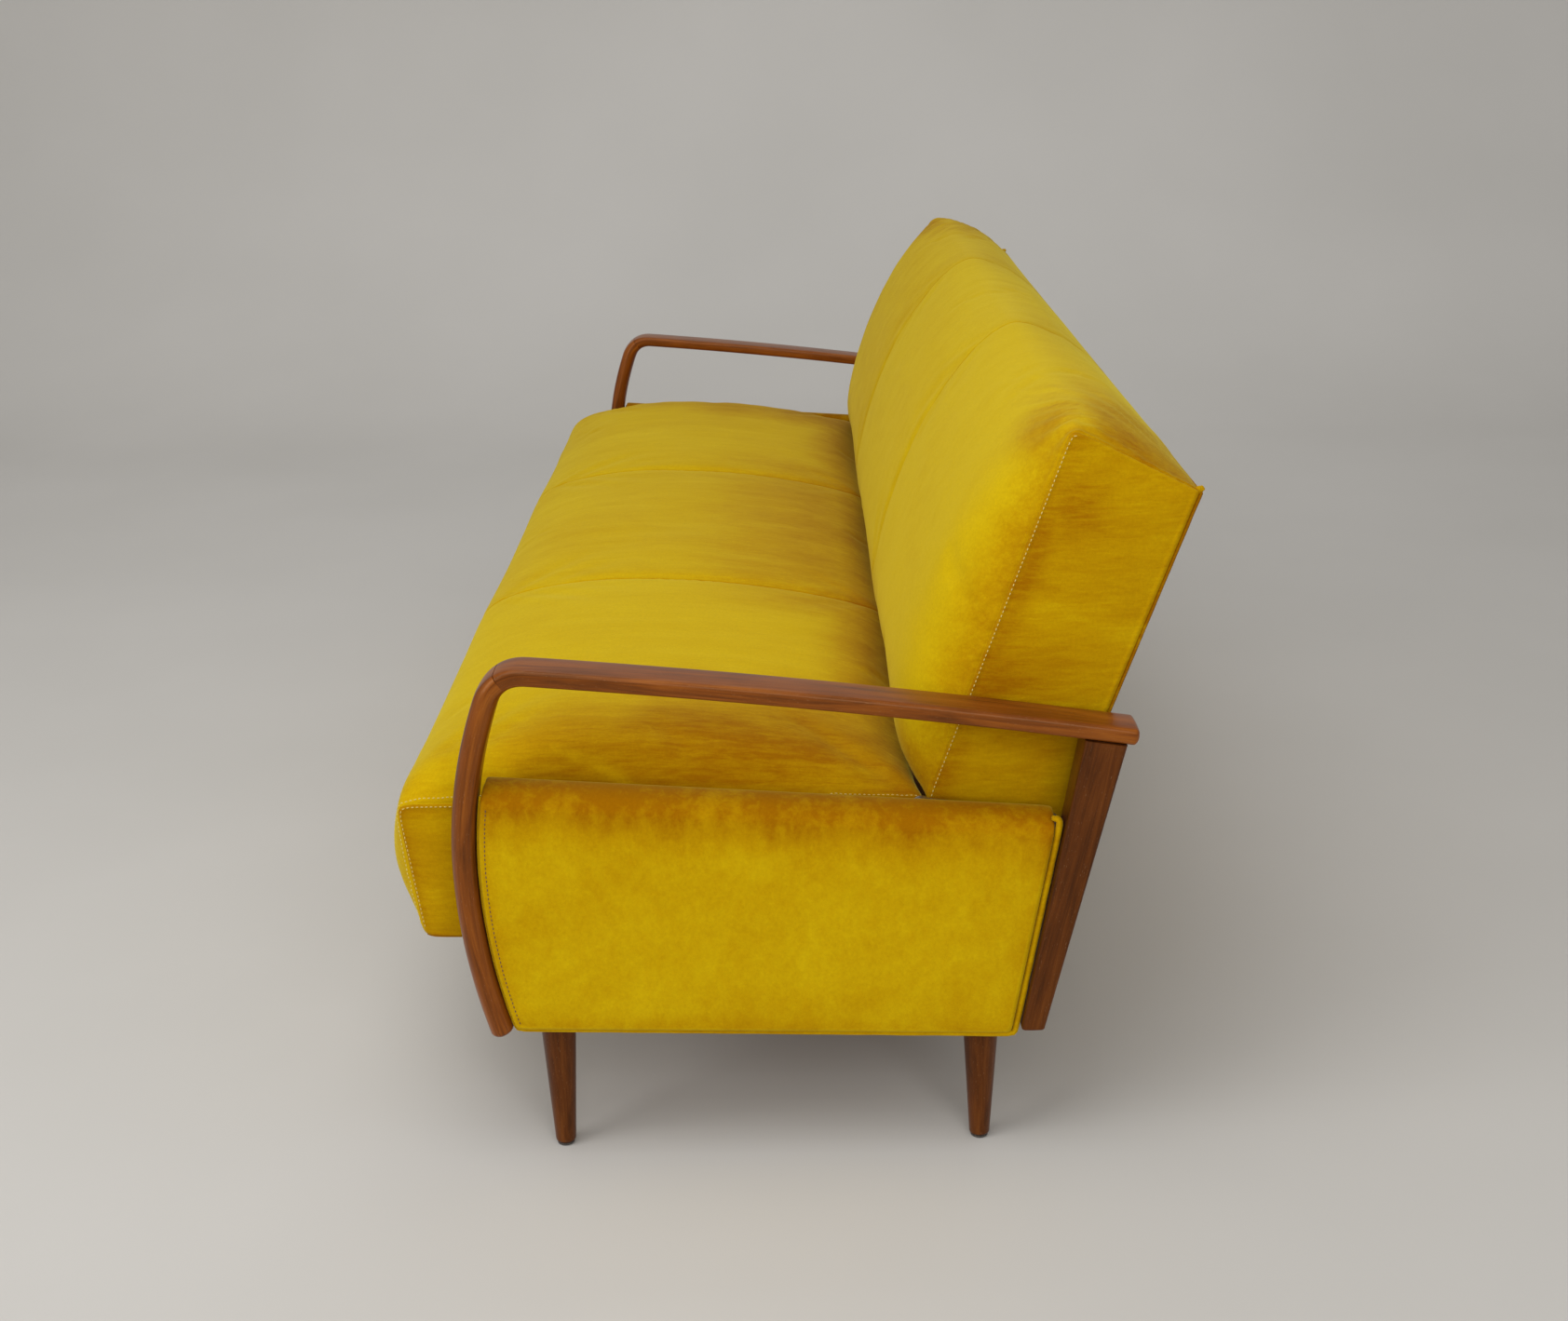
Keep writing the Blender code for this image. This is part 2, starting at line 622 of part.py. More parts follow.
def make_back(pivot):
    counts = (3, 14, 5, 6)
    swells = ((0.0, straight), (BACK_CROWN, back_crown), (0.017, bulge), (0.0, straight))
    pillow("back_cover", back_corners(0.0, BACK_DEPTH), swells, counts, CUSHION_HALF, "velvet", pivot,
           open_side=3, skin=COVER_THICKNESS)
    padding_swells = ((0.0, straight), (BACK_CROWN - 0.004, back_crown), (0.014, bulge), (0.0, straight))
    pillow("back_padding", back_corners(0.0055, 0.084), padding_swells, (2, 12, 3, 4),
           CUSHION_HALF - 0.006, "felt", pivot)

    depths = (BACK_RAIL_FRONT, BACK_DEPTH - 0.002)
    low = (BACK_BOTTOM + 0.008, BACK_BOTTOM + 0.008 + FRAME_RAIL)
    high = (BACK_TOP_REAR - 0.008 - FRAME_RAIL, BACK_TOP_REAR - 0.008)
    between = (low[1] + GAP, high[0] - GAP)
    back_box("back_rail_bottom", (-FRAME_HALF, FRAME_HALF), low, depths, "pine", pivot)
    back_box("back_rail_top", (-FRAME_HALF, FRAME_HALF), high, depths, "pine", pivot)
    for side_name, side in SIDES:
        xs = (side * (FRAME_HALF - FRAME_RAIL), side * FRAME_HALF)
        back_box("back_rail_" + side_name, xs, between, depths, "pine", pivot)
    back_box("back_rail_centre", (-FRAME_RAIL / 2, FRAME_RAIL / 2), between,
             (BACK_RAIL_FRONT + 0.012, depths[1]), "pine", pivot)

    panel_depths = (BACK_DEPTH + GAP, BACK_DEPTH + BACK_PANEL)
    panel = back_box("back_rear_panel", (-CUSHION_HALF + 0.002, CUSHION_HALF - 0.002),
                     (BACK_BOTTOM + 0.002, BACK_TOP_REAR - 0.001), panel_depths, "velvet", pivot)
    soften(panel, 0.001, 1)

    depth = BACK_RAIL_FRONT - SPRING_WIRE - 2 * GAP
    for number, x in enumerate((-0.52, 0.0, 0.52), start=1):
        path = zigzag(low[0] + 0.006, high[1] - 0.006, 0.050, 5,
                      lambda dx, up, x=x: (x + dx, *back_point(up, depth)))
        tube("back_spring_%d" % number, path, SPRING_WIRE, "steel", 5, pivot)


def main():
    clear_scene()
    seat_pivot = pivot_empty("seat_pivot")
    back_pivot = pivot_empty("back_pivot")
    make_box()
    for side_name, side in SIDES:
        make_arm(side_name, side)
        make_side_panel(side_name, side)
        make_hinge(side_name, side, seat_pivot, back_pivot)
        for place, leg_y in zip(("front", "rear"), LEG_Y):
            make_leg("%s_%s" % (place, side_name), side * LEG_X, leg_y)
    make_seat(seat_pivot)
    make_back(back_pivot)


main()
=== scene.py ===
"""Looks of the click-clack sofa bed: its velvet, woodwork and materials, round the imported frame.

Metres, +Z up, the sofa's front towards -Y and the sitter's left towards +X.
"""
import json
import math

import bmesh
import bpy
import numpy as np
from mathutils import Matrix, Vector
from mathutils.bvhtree import BVHTree


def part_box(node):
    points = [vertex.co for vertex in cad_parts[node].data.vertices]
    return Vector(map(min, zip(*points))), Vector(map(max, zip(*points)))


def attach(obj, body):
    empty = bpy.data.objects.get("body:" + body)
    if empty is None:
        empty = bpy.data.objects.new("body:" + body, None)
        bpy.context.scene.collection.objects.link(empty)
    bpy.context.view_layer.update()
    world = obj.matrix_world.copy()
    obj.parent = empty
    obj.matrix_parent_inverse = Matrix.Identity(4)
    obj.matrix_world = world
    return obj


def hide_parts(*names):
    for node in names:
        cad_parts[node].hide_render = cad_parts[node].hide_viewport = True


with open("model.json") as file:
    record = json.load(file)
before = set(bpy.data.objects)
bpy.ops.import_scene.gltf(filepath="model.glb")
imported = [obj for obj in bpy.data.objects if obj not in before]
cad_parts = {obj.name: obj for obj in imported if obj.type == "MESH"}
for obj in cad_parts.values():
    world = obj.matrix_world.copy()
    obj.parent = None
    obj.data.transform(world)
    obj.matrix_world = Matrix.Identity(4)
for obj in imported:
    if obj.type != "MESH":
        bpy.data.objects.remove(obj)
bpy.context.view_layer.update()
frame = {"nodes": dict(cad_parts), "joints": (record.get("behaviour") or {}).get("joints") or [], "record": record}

SIDES = (("left", 1.0), ("right", -1.0))

# Dimensions taken from the frame ----------------------------------------------------------------
PIVOT = tuple(frame["joints"][0]["pos_m"][1:])     # (y, z) of the crease that seat and back turn about
CUSHION_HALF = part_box("seat_cover")[1].x + 0.0005
SEAM_X = CUSHION_HALF / 3                          # the two cross seams of seat and back
ARM_INNER, ARM_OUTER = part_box("arm_rail_left")[0].x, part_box("arm_rail_left")[1].x
POST_FOOT_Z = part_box("front_post_left")[0].z
PAD_INNER, PAD_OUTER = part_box("side_pad_left")[0].x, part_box("side_pad_left")[1].x
REAR_POST_X = (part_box("rear_post_left")[0].x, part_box("rear_post_left")[1].x)

# Shapes repeated from the design ----------------------------------------------------------------
RAIL_HALF, POST_HALF = 0.009, 0.012                # half thicknesses of the bent arm
RAIL_REAR = (0.348, 0.4665)                        # (y, z) on the arm's centreline
ARM_CORNER = (-0.276, 0.543)
RAIL_BOW = 0.0055
POST_KNEE = (-0.3205, 0.335)
POST_FOOT = (-0.2945, 0.151)
BEND_LENGTH = 0.030
REAR_POST_TOP = (0.295, 0.337)
REAR_POST_BOTTOM = (0.239, 0.263)
BASE_Z, BASE_SLOPE = 0.1465, -0.0287               # underside of the base at y = 0, and its fall
PANEL_TOP_Z, PANEL_TOP_SLOPE = 0.4050, -0.0735
PAD_FRONT_EDGE, PAD_EDGE = 0.0034, 0.0080          # from the posts to the side pad
PIPING_EDGE = 0.0042
LEG_RADII = (0.0188, 0.0106)                       # at the top and the foot
SEAT_CORNERS = ((-0.378, 0.2346), (-0.396, 0.386), (0.1370, 0.3815), (0.126, 0.227))
SEAT_END_REACH = 0.0072                            # the seat's ends press closer to the back
BACK_LEAN = math.radians(19.95)
BACK_DEPTH = 0.142


def back_point(up, behind):
    """(y, z) from the distances up the back's front face and behind it."""
    lean_y, lean_z = math.sin(BACK_LEAN), math.cos(BACK_LEAN)
    return (PIVOT[0] + up * lean_y + behind * lean_z, PIVOT[1] + up * lean_z - behind * lean_y)


def smooth(low, high, value):
    """0 below low, 1 above high, and smooth between them; low may be the larger."""
    t = np.clip((value - low) / (high - low), 0.0, 1.0)
    return t * t * (3 - 2 * t)


def bump(value, width):
    """A smooth hill of height 1 at 0."""
    return np.exp(-(value / width) ** 2)


def ripple(rng, value, wavelength, count=5, spread=0.5):
    """A wavy line that never repeats, about -1 to 1: waves near one length with random phases."""
    total = np.zeros_like(value)
    for _ in range(count):
        length = wavelength * math.exp(rng.uniform(-spread, spread))
        total += np.sin(2 * math.pi * value / length + rng.uniform(0, 2 * math.pi))
    return total / math.sqrt(2 * count)


# Meshes -----------------------------------------------------------------------------------------
def mesh_object(name, verts, faces, material, nap_and_shade=None, grain=None):
    """A closed mesh with its faces turned outwards, and the attributes that its material reads."""
    mesh = bpy.data.meshes.new(name)
    mesh.from_pydata([tuple(v) for v in verts], [], [tuple(f) for f in faces])
    bm = bmesh.new()
    bm.from_mesh(mesh)
    bmesh.ops.recalc_face_normals(bm, faces=bm.faces)
    bm.to_mesh(mesh)
    bm.free()
    if nap_and_shade is not None:
        mesh.attributes.new("nap_and_shade", "FLOAT", "POINT").data.foreach_set("value", np.float32(nap_and_shade))
    if grain is not None:
        layer = mesh.attributes.new("grain", "FLOAT_VECTOR", "POINT")
        layer.data.foreach_set("vector", np.float32(grain).ravel())
    mesh.shade_smooth()
    mesh.materials.append(material)
    obj = bpy.data.objects.new(name, mesh)
    bpy.context.collection.objects.link(obj)
    return obj


def grid_faces(index):
    """Quads of a 2D array of vertex numbers."""
    quads = np.stack((index[:-1, :-1], index[1:, :-1], index[1:, 1:], index[:-1, 1:]), -1)
    return quads.reshape(-1, 4)


def tube_faces(ring):
    """Quads round a tube whose rings of vertex numbers are the rows, and a face on each end."""
    round_it = grid_faces(np.hstack((ring, ring[:, :1]))).tolist()
    return round_it + [ring[0].tolist(), ring[-1][::-1].tolist()]


def arc_lengths(points):
    """The distance along a path of points to each of them."""
    return np.concatenate(([0.0], np.cumsum(np.linalg.norm(np.diff(points, axis=0), axis=1))))


def box_numbers(shape):
    """Vertex numbers of the outside of a box lattice, -1 inside, and its quads."""
    outside = np.ones(shape, bool)
    outside[1:-1, 1:-1, 1:-1] = False
    index = np.where(outside, np.cumsum(outside.ravel()).reshape(shape) - 1, -1)
    sides = (index[0], index[-1], index[:, 0], index[:, -1], index[:, :, 0], index[:, :, -1])
    return outside, np.concatenate([grid_faces(side) for side in sides])


SEAM_OFFSETS = (0.0, 0.0011, 0.0023, 0.0038, 0.0058, 0.0085, 0.0120)


def lines(start, end, spacing, seams=()):
    """Lattice lines about spacing apart, with closer ones on and beside each seam."""
    found = np.linspace(start, end, max(2, round((end - start) / spacing)) + 1)
    extra = []
    for seam in seams:
        found = found[np.abs(found - seam) > SEAM_OFFSETS[-1] + 0.4 * spacing]
        extra += [seam + sign * offset for offset in SEAM_OFFSETS for sign in (-1, 1)]
    extra = [value for value in extra if start - 1e-9 <= value <= end + 1e-9]
    return np.unique(np.round(np.concatenate((found, extra)), 6))


# Cushion forms ----------------------------------------------------------------------------------
RING_STEPS = 1400
SIDE_STEPS = 240


class Section:
    """A cushion's closed cross-section: four swollen sides, from the corner under its lower edge.

    The sides run up the lower edge, along the face, down the upper edge and back underneath."""

    def __init__(self, corners, swells, scale, softness, roundness):
        t = np.arange(SIDE_STEPS)[:, None] / SIDE_STEPS
        points = []
        for i in range(4):
            start, end = np.array(corners[i]), np.array(corners[(i + 1) % 4])
            along = end - start
            outward = np.array((-along[1], along[0])) / np.linalg.norm(along)
            amount, shape = swells[i]
            points.append(start + along * t + outward * amount * scale * shape(t))
        closed = np.vstack(points + [points[0][:1]])
        arc = arc_lengths(closed)
        self.corner_arc = arc[::SIDE_STEPS]
        self.length = arc[-1]
        self.even = np.linspace(0, self.length, RING_STEPS, endpoint=False)
        plain = np.stack([np.interp(self.even, arc, closed[:, k]) for k in (0, 1)], 1)
        crisp, round_ = self.blurred(plain, softness[0]), self.blurred(plain, softness[1])
        weight = np.interp(self.even, self.corner_arc, list(roundness) + [roundness[0]])[:, None]
        self.points = crisp * (1 - weight) + round_ * weight

    def blurred(self, points, sigma):
        """The ring's corners rounded by a blur of that width along it."""
        wave = np.fft.rfftfreq(RING_STEPS, self.length / RING_STEPS)
        damp = np.exp(-2 * (np.pi * wave * sigma) ** 2)[:, None]
        return np.fft.irfft(np.fft.rfft(points, axis=0) * damp, RING_STEPS, axis=0)

    def side(self, number, share):
        """Points along one side, share from 0 to 1 in the ring's own direction."""
        first, last = self.corner_arc[number], self.corner_arc[number + 1]
        at = first + share * (last - first)
        return np.stack([np.interp(at, self.even, self.points[:, k], period=self.length)
                         for k in (0, 1)], 1)


def fill_end(low, high, under, face, b, c):
    """The surface inside a ring: its four sides blended over b along the face and c through the depth."""
    b, c = b[:, None, None], c[None, :, None]
    inside = (1 - b) * low[None] + b * high[None] + (1 - c) * under[:, None] + c * face[:, None]
    corners = ((1 - b) * (1 - c) * low[0] + (1 - b) * c * low[-1]
               + b * (1 - c) * high[0] + b * c * high[-1])
    return inside - corners


class Form:
    """A cushion's shape, which can be read on any lattice of x, b (along its face) and c (its depth)."""

    def __init__(self, section_at, end_swell, lengths):
        self.section_at, self.end_swell, self.lengths = section_at, end_swell, lengths

    def points(self, xs, b, c):
        grid = np.zeros((len(xs), len(b), len(c), 3))
        for i, x in enumerate(xs):
            section = self.section_at(x)
            under, face = section.side(3, 1 - b), section.side(1, b)
            low, high = section.side(0, c), section.side(2, 1 - c)
            if i in (0, len(xs) - 1):
                grid[i, :, :, 1:] = fill_end(low, high, under, face, b, c)
            grid[i, :, 0, 1:], grid[i, :, -1, 1:] = under, face
            grid[i, 0, :, 1:], grid[i, -1, :, 1:] = low, high
            grid[i, :, :, 0] = x
        for i, x in ((0, xs[0]), (len(xs) - 1, xs[-1])):
            distance = edge_distance(grid[i, :, :, 1:])
            grid[i, :, :, 0] = x + self.end_swell(x, distance)
        return grid


def edge_distance(face):
    """How far each point of a 2D grid of points lies from the grid's own border."""
    border = np.concatenate((face[:, 0], face[-1], face[::-1, -1], face[0, ::-1]))
    start, along = border[:-1], np.diff(border, axis=0)
    size = np.maximum((along ** 2).sum(1), 1e-12)
    flat = face.reshape(-1, 2)
    share = np.clip(((flat[:, None] - start) * along).sum(2) / size, 0, 1)
    away = np.linalg.norm(flat[:, None] - start - share[:, :, None] * along, axis=2)
    return away.min(1).reshape(face.shape[:2])


def spread_matrix(coarse, fine):
    """Weights of a smooth (Catmull-Rom) reading of values on even coarse lines at the fine lines."""
    place = (fine - coarse[0]) / (coarse[-1] - coarse[0]) * (len(coarse) - 1)
    first = np.clip(np.floor(place).astype(int), 0, len(coarse) - 2)
    t = place - first
    weights = (-t ** 3 / 2 + t ** 2 - t / 2, 1.5 * t ** 3 - 2.5 * t ** 2 + 1,
               -1.5 * t ** 3 + 2 * t ** 2 + t / 2, t ** 3 / 2 - t ** 2 / 2)
    matrix = np.zeros((len(fine), len(coarse)))
    for step, weight in enumerate(weights):
        column = np.clip(first + step - 1, 0, len(coarse) - 1)
        np.add.at(matrix, (np.arange(len(fine)), column), weight)
    return matrix


# Cloth simulation -------------------------------------------------------------------------------
SIM_SPACING = 0.0148
SIM_FRAMES = 20
waiting = []


def prepare_puff(name, form, xs, b_c, pinned, cap, pressure, growth):
    """Set up the cover's cloth simulation: its seams are pinned and it swells between them."""
    b, c = b_c
    grid = form.points(xs, b, c)
    outside, quads = box_numbers(grid.shape[:3])
    material = bpy.data.materials.get("cloth_guide") or bpy.data.materials.new("cloth_guide")
    guide = mesh_object("puff_" + name, grid[outside], quads, material)
    at_x, at_b, at_c = np.meshgrid(xs, b, c, indexing="ij")
    hold = pinned(at_x[outside], at_b[outside], at_c[outside])
    group = guide.vertex_groups.new(name="pin")
    for vertex in np.nonzero(hold > 0)[0]:
        group.add([int(vertex)], float(hold[vertex]), "REPLACE")
    cloth = guide.modifiers.new("cover", "CLOTH")
    settings = cloth.settings
    settings.quality = 6
    settings.mass = 0.25
    settings.tension_stiffness = settings.compression_stiffness = 22.0
    settings.shear_stiffness = 8.0
    settings.bending_stiffness = 1.5
    settings.air_damping = 2.0
    settings.use_pressure = True
    settings.uniform_pressure_force = pressure
    settings.vertex_group_mass = "pin"
    settings.shrink_min = -growth
    settings.effector_weights.gravity = 0.0
    cloth.point_cache.frame_end = SIM_FRAMES
    waiting.append((name, guide, grid, outside, cap))


def run_puffs():
    """Step all the cloth at once, and keep how far each point moved, up to its cap."""
    scene = bpy.context.scene
    scene.frame_start, scene.frame_end = 1, SIM_FRAMES
    for number in range(1, SIM_FRAMES + 1):
        scene.frame_set(number)
    graph = bpy.context.evaluated_depsgraph_get()
    moved = {}
    for name, guide, grid, outside, cap in waiting:
        result = guide.evaluated_get(graph).to_mesh()
        place = np.zeros(len(result.vertices) * 3, np.float32)
        result.vertices.foreach_get("co", place)
        shift = place.reshape(-1, 3).astype(float) - grid[outside]
        far = np.linalg.norm(shift, axis=1, keepdims=True)
        shift *= cap * np.tanh(far / cap) / np.maximum(far, 1e-9)
        whole = np.zeros_like(grid)
        whole[outside] = shift
        moved[name] = whole
    scene.frame_set(1)
    for _, guide, _, _, _ in waiting:
        bpy.data.objects.remove(guide)
    return moved


def read_shift(whole, coarse, fine):
    """The simulated shift at the fine lattice's lines."""
    at_x, at_b, at_c = (spread_matrix(a, f) for a, f in zip(coarse, fine))
    shift = np.zeros((len(fine[0]), len(fine[1]), len(fine[2]), 3))
    for side in (0, -1):
        shift[side] = np.einsum("ij,kl,jlm->ikm", at_b, at_c, whole[side])
        shift[:, side] = np.einsum("ij,kl,jlm->ikm", at_x, at_c, whole[:, side])
        shift[:, :, side] = np.einsum("ij,kl,jlm->ikm", at_x, at_b, whole[:, :, side])
    return shift


class Surface:
    """The fine lattice's outside points with their places on the cushion, for the details, the nap and the painted
    shade.
    """

    def __init__(self, form, xs, b, c, shift=None):
        self.grid = form.points(xs, b, c)
        if shift is not None:
            self.grid += shift
        self.outside, self.quads = box_numbers(self.grid.shape[:3])
        at_x, at_b, at_c = np.meshgrid(xs, b, c, indexing="ij")
        end = np.zeros(self.outside.shape)
        end[0] = edge_distance(self.grid[0, :, :, 1:])
        end[-1] = edge_distance(self.grid[-1, :, :, 1:])
        pick = self.outside
        self.points = self.grid[pick]
        self.x, self.b, self.c = at_x[pick], at_b[pick], at_c[pick]
        self.inward = end[pick]                       # on an end: how far inside its border
        self.on_end = self.inward > 1e-6
        self.to_end = xs[-1] - np.abs(self.x)         # on the ring: how far from the end seam
        self.size = form.lengths
        self.y, self.z = self.points[:, 1], self.points[:, 2]

    def finished(self, name, material, height, nap_and_shade):
        """The object, its points moved out along their normals by height."""
        obj = mesh_object(name, self.points, self.quads, material, nap_and_shade)
        count = len(self.points) * 3
        normal = np.zeros(count, np.float32)
        obj.data.vertex_normals.foreach_get("vector", normal)
        moved = self.points + normal.reshape(-1, 3) * height[:, None]
        obj.data.vertices.foreach_set("co", np.float32(moved).ravel())
        obj.data.update()
        return obj


def seat_crown(t):
    return np.sin(np.pi * np.clip(t, 0, 1) ** 0.72) ** 0.6


BACK_BULGE_UP = (0.0, 0.018, 0.051, 0.087, 0.137, 0.224, 0.327, 0.474, 0.643, 0.773, 0.885, 0.960, 1.0)
BACK_BULGE = (0.0, 0.35, 0.61, 0.76, 0.86, 0.955, 1.02, 1.03, 0.96, 0.78, 0.52, 0.26, 0.0)


def back_crown(t):
    """The back is fullest low down, where it rolls out over the seat."""
    return np.interp(t, BACK_BULGE_UP, BACK_BULGE)


def top_crown(t):
    return np.sin(np.pi * np.clip(t, 0, 1) ** 0.70) ** 0.7


def bulge(t):
    return np.sin(np.pi * t)


def level(t):
    return 0.0 * t


def end_fade(x, run):
    """How far the crown has risen at x: nothing at the end seams, nearly all of it past the run."""
    return 1 - math.exp(-(max(0.0, CUSHION_HALF - abs(x)) / run) ** 1.15)


def seat_section(x):
    swells = ((0.0245, bulge), (0.0595, seat_crown), (0.003, bulge), (0.0, level))
    rear_top = (SEAT_CORNERS[2][0] + SEAT_END_REACH * (1 - end_fade(x, 0.034)), SEAT_CORNERS[2][1])
    corners = SEAT_CORNERS[:2] + (rear_top,) + SEAT_CORNERS[3:]
    return Section(corners, swells, end_fade(x, 0.021), (0.0035, 0.0105), (0.75, 1.0, 0.0, 0.0))


def back_section(x):
    rear_top = back_point(0.411 - 0.1267 * BACK_DEPTH, BACK_DEPTH)
    corners = (back_point(0.006, BACK_DEPTH), back_point(0.004, 0.003), back_point(0.411, 0.002), rear_top)
    swells = ((0.0, level), (0.0575, back_crown), (0.0178, top_crown), (0.0, level))
    return Section(corners, swells, end_fade(x, 0.034), (0.0014, 0.0095), (0.0, 0.45, 1.0, 0.0))


def end_roll(x, distance):
    """The end panels stand a little proud of their seams."""
    return math.copysign(1.0, x) * 0.0014 * (1 - np.exp(-distance / 0.005))


SEAT = Form(seat_section, end_roll, (0.545, 0.150))
BACK = Form(back_section, end_roll, (0.430, 0.150))


# Side pads --------------------------------------------------------------------------------------
def base_z(y):
    return BASE_Z + BASE_SLOPE * y


def panel_top_z(y):
    return PANEL_TOP_Z + PANEL_TOP_SLOPE * y


def rail_centre(t):
    """The arm rail's centreline, t = 0 at the rear end and 1 at the corner."""
    y = RAIL_REAR[0] + t * (ARM_CORNER[0] - RAIL_REAR[0])
    z = RAIL_REAR[1] + t * (ARM_CORNER[1] - RAIL_REAR[1]) + 4 * RAIL_BOW * t * (1 - t)
    return Vector((y, z))


def post_centre(z):
    """The front post's centreline: two arcs that meet at its knee."""
    end = ARM_CORNER if z > POST_KNEE[1] else POST_FOOT
    reach = (z - POST_KNEE[1]) / (end[1] - POST_KNEE[1])
    return Vector((POST_KNEE[0] + (end[0] - POST_KNEE[0]) * reach ** 2, z))


def rear_post_front(z):
    """The rear post's front edge at that height."""
    share = (z - BASE_Z) / (RAIL_REAR[1] - BASE_Z)
    return REAR_POST_BOTTOM[0] + share * (REAR_POST_TOP[0] - REAR_POST_BOTTOM[0])


def pad_outline(front_edge, edge, drop, rise):
    """The corners of a side panel that keeps its edges from the posts."""
    low_front = (post_centre(POST_FOOT[1]).x + POST_HALF + front_edge, 0.0)
    low_front = (low_front[0], base_z(low_front[0]) + rise)
    top_z = panel_top_z(-0.30) - drop
    top_front = (post_centre(top_z).x + POST_HALF + front_edge, top_z)
    rear_top_z = panel_top_z(REAR_POST_TOP[0]) - drop
    top_rear = (rear_post_front(rear_top_z) - edge, rear_top_z)
    low_rear_z = base_z(REAR_POST_BOTTOM[0]) + rise
    low_rear = (rear_post_front(low_rear_z) - edge, low_rear_z)
    return low_front, top_front, top_rear, low_rear


def pad_section(front_edge, edge, drop, rise):
    corners = pad_outline(front_edge, edge, drop, rise)
    low, high = corners[0][1], corners[1][1]
    chord = (corners[1][0] - corners[0][0]) / (high - low)

    def bow(t):
        """The front edge's bow ahead of its chord."""
        z = low + t * (high - low)
        y = np.vectorize(lambda value: post_centre(float(value)).x)(z) + POST_HALF + front_edge
        return corners[0][0] + chord * (z - low) - y

    swells = ((1.0, bow), (0.0, level), (0.0, level), (0.0, level))
    return Section(corners, swells, 1.0, (0.0030, 0.0080), (0.2, 0.0, 0.45, 0.2))


PAD_ROLL = 0.0060                                  # radius of the pad's rolled outer edge
PAD_TOP_RADII = (0.0110, 0.0300)                   # of its top, on the inner and the outer side
PAD_TOP_SINK = 0.0026                              # the cloth is drawn tight below the outline's top
PAD_LEDGE = 0.0202                                 # the lip that wraps over the side board
PAD_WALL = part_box("side_board_left")[1].x + 0.0006  # the pad's back face below the lip


def rolled(depth, radius):
    """How far a rounded edge has drawn in at that depth past the roll's start."""
    return radius - math.sqrt(max(0.0, radius ** 2 - min(max(0.0, depth), radius) ** 2))


def pad_form(side):
    """The side pad: rolled outer edges, and a top that is rounded through its whole thickness."""
    sections = {}

    def section_at(x):
        inset = round(rolled(abs(x) - (PAD_OUTER - PAD_ROLL), PAD_ROLL), 6)
        inner = rolled(PAD_INNER + PAD_TOP_RADII[0] - abs(x), PAD_TOP_RADII[0])
        outer = rolled(abs(x) - (PAD_OUTER - PAD_TOP_RADII[1]), PAD_TOP_RADII[1])
        drop = round(PAD_TOP_SINK + 0.86 * inner + 0.76 * outer, 6)
        if (inset, drop) not in sections:
            sections[inset, drop] = pad_section(PAD_FRONT_EDGE + 0.6 * inset, PAD_EDGE + inset, drop, inset)
        return sections[inset, drop]

    def swell(x, distance):
        if abs(x) < 0.5 * (PAD_INNER + PAD_OUTER):
            return 0.0 * distance
        return side * 0.0022 * (1 - np.exp(-distance / 0.030))

    return Form(section_at, swell, (0.53, 0.26))


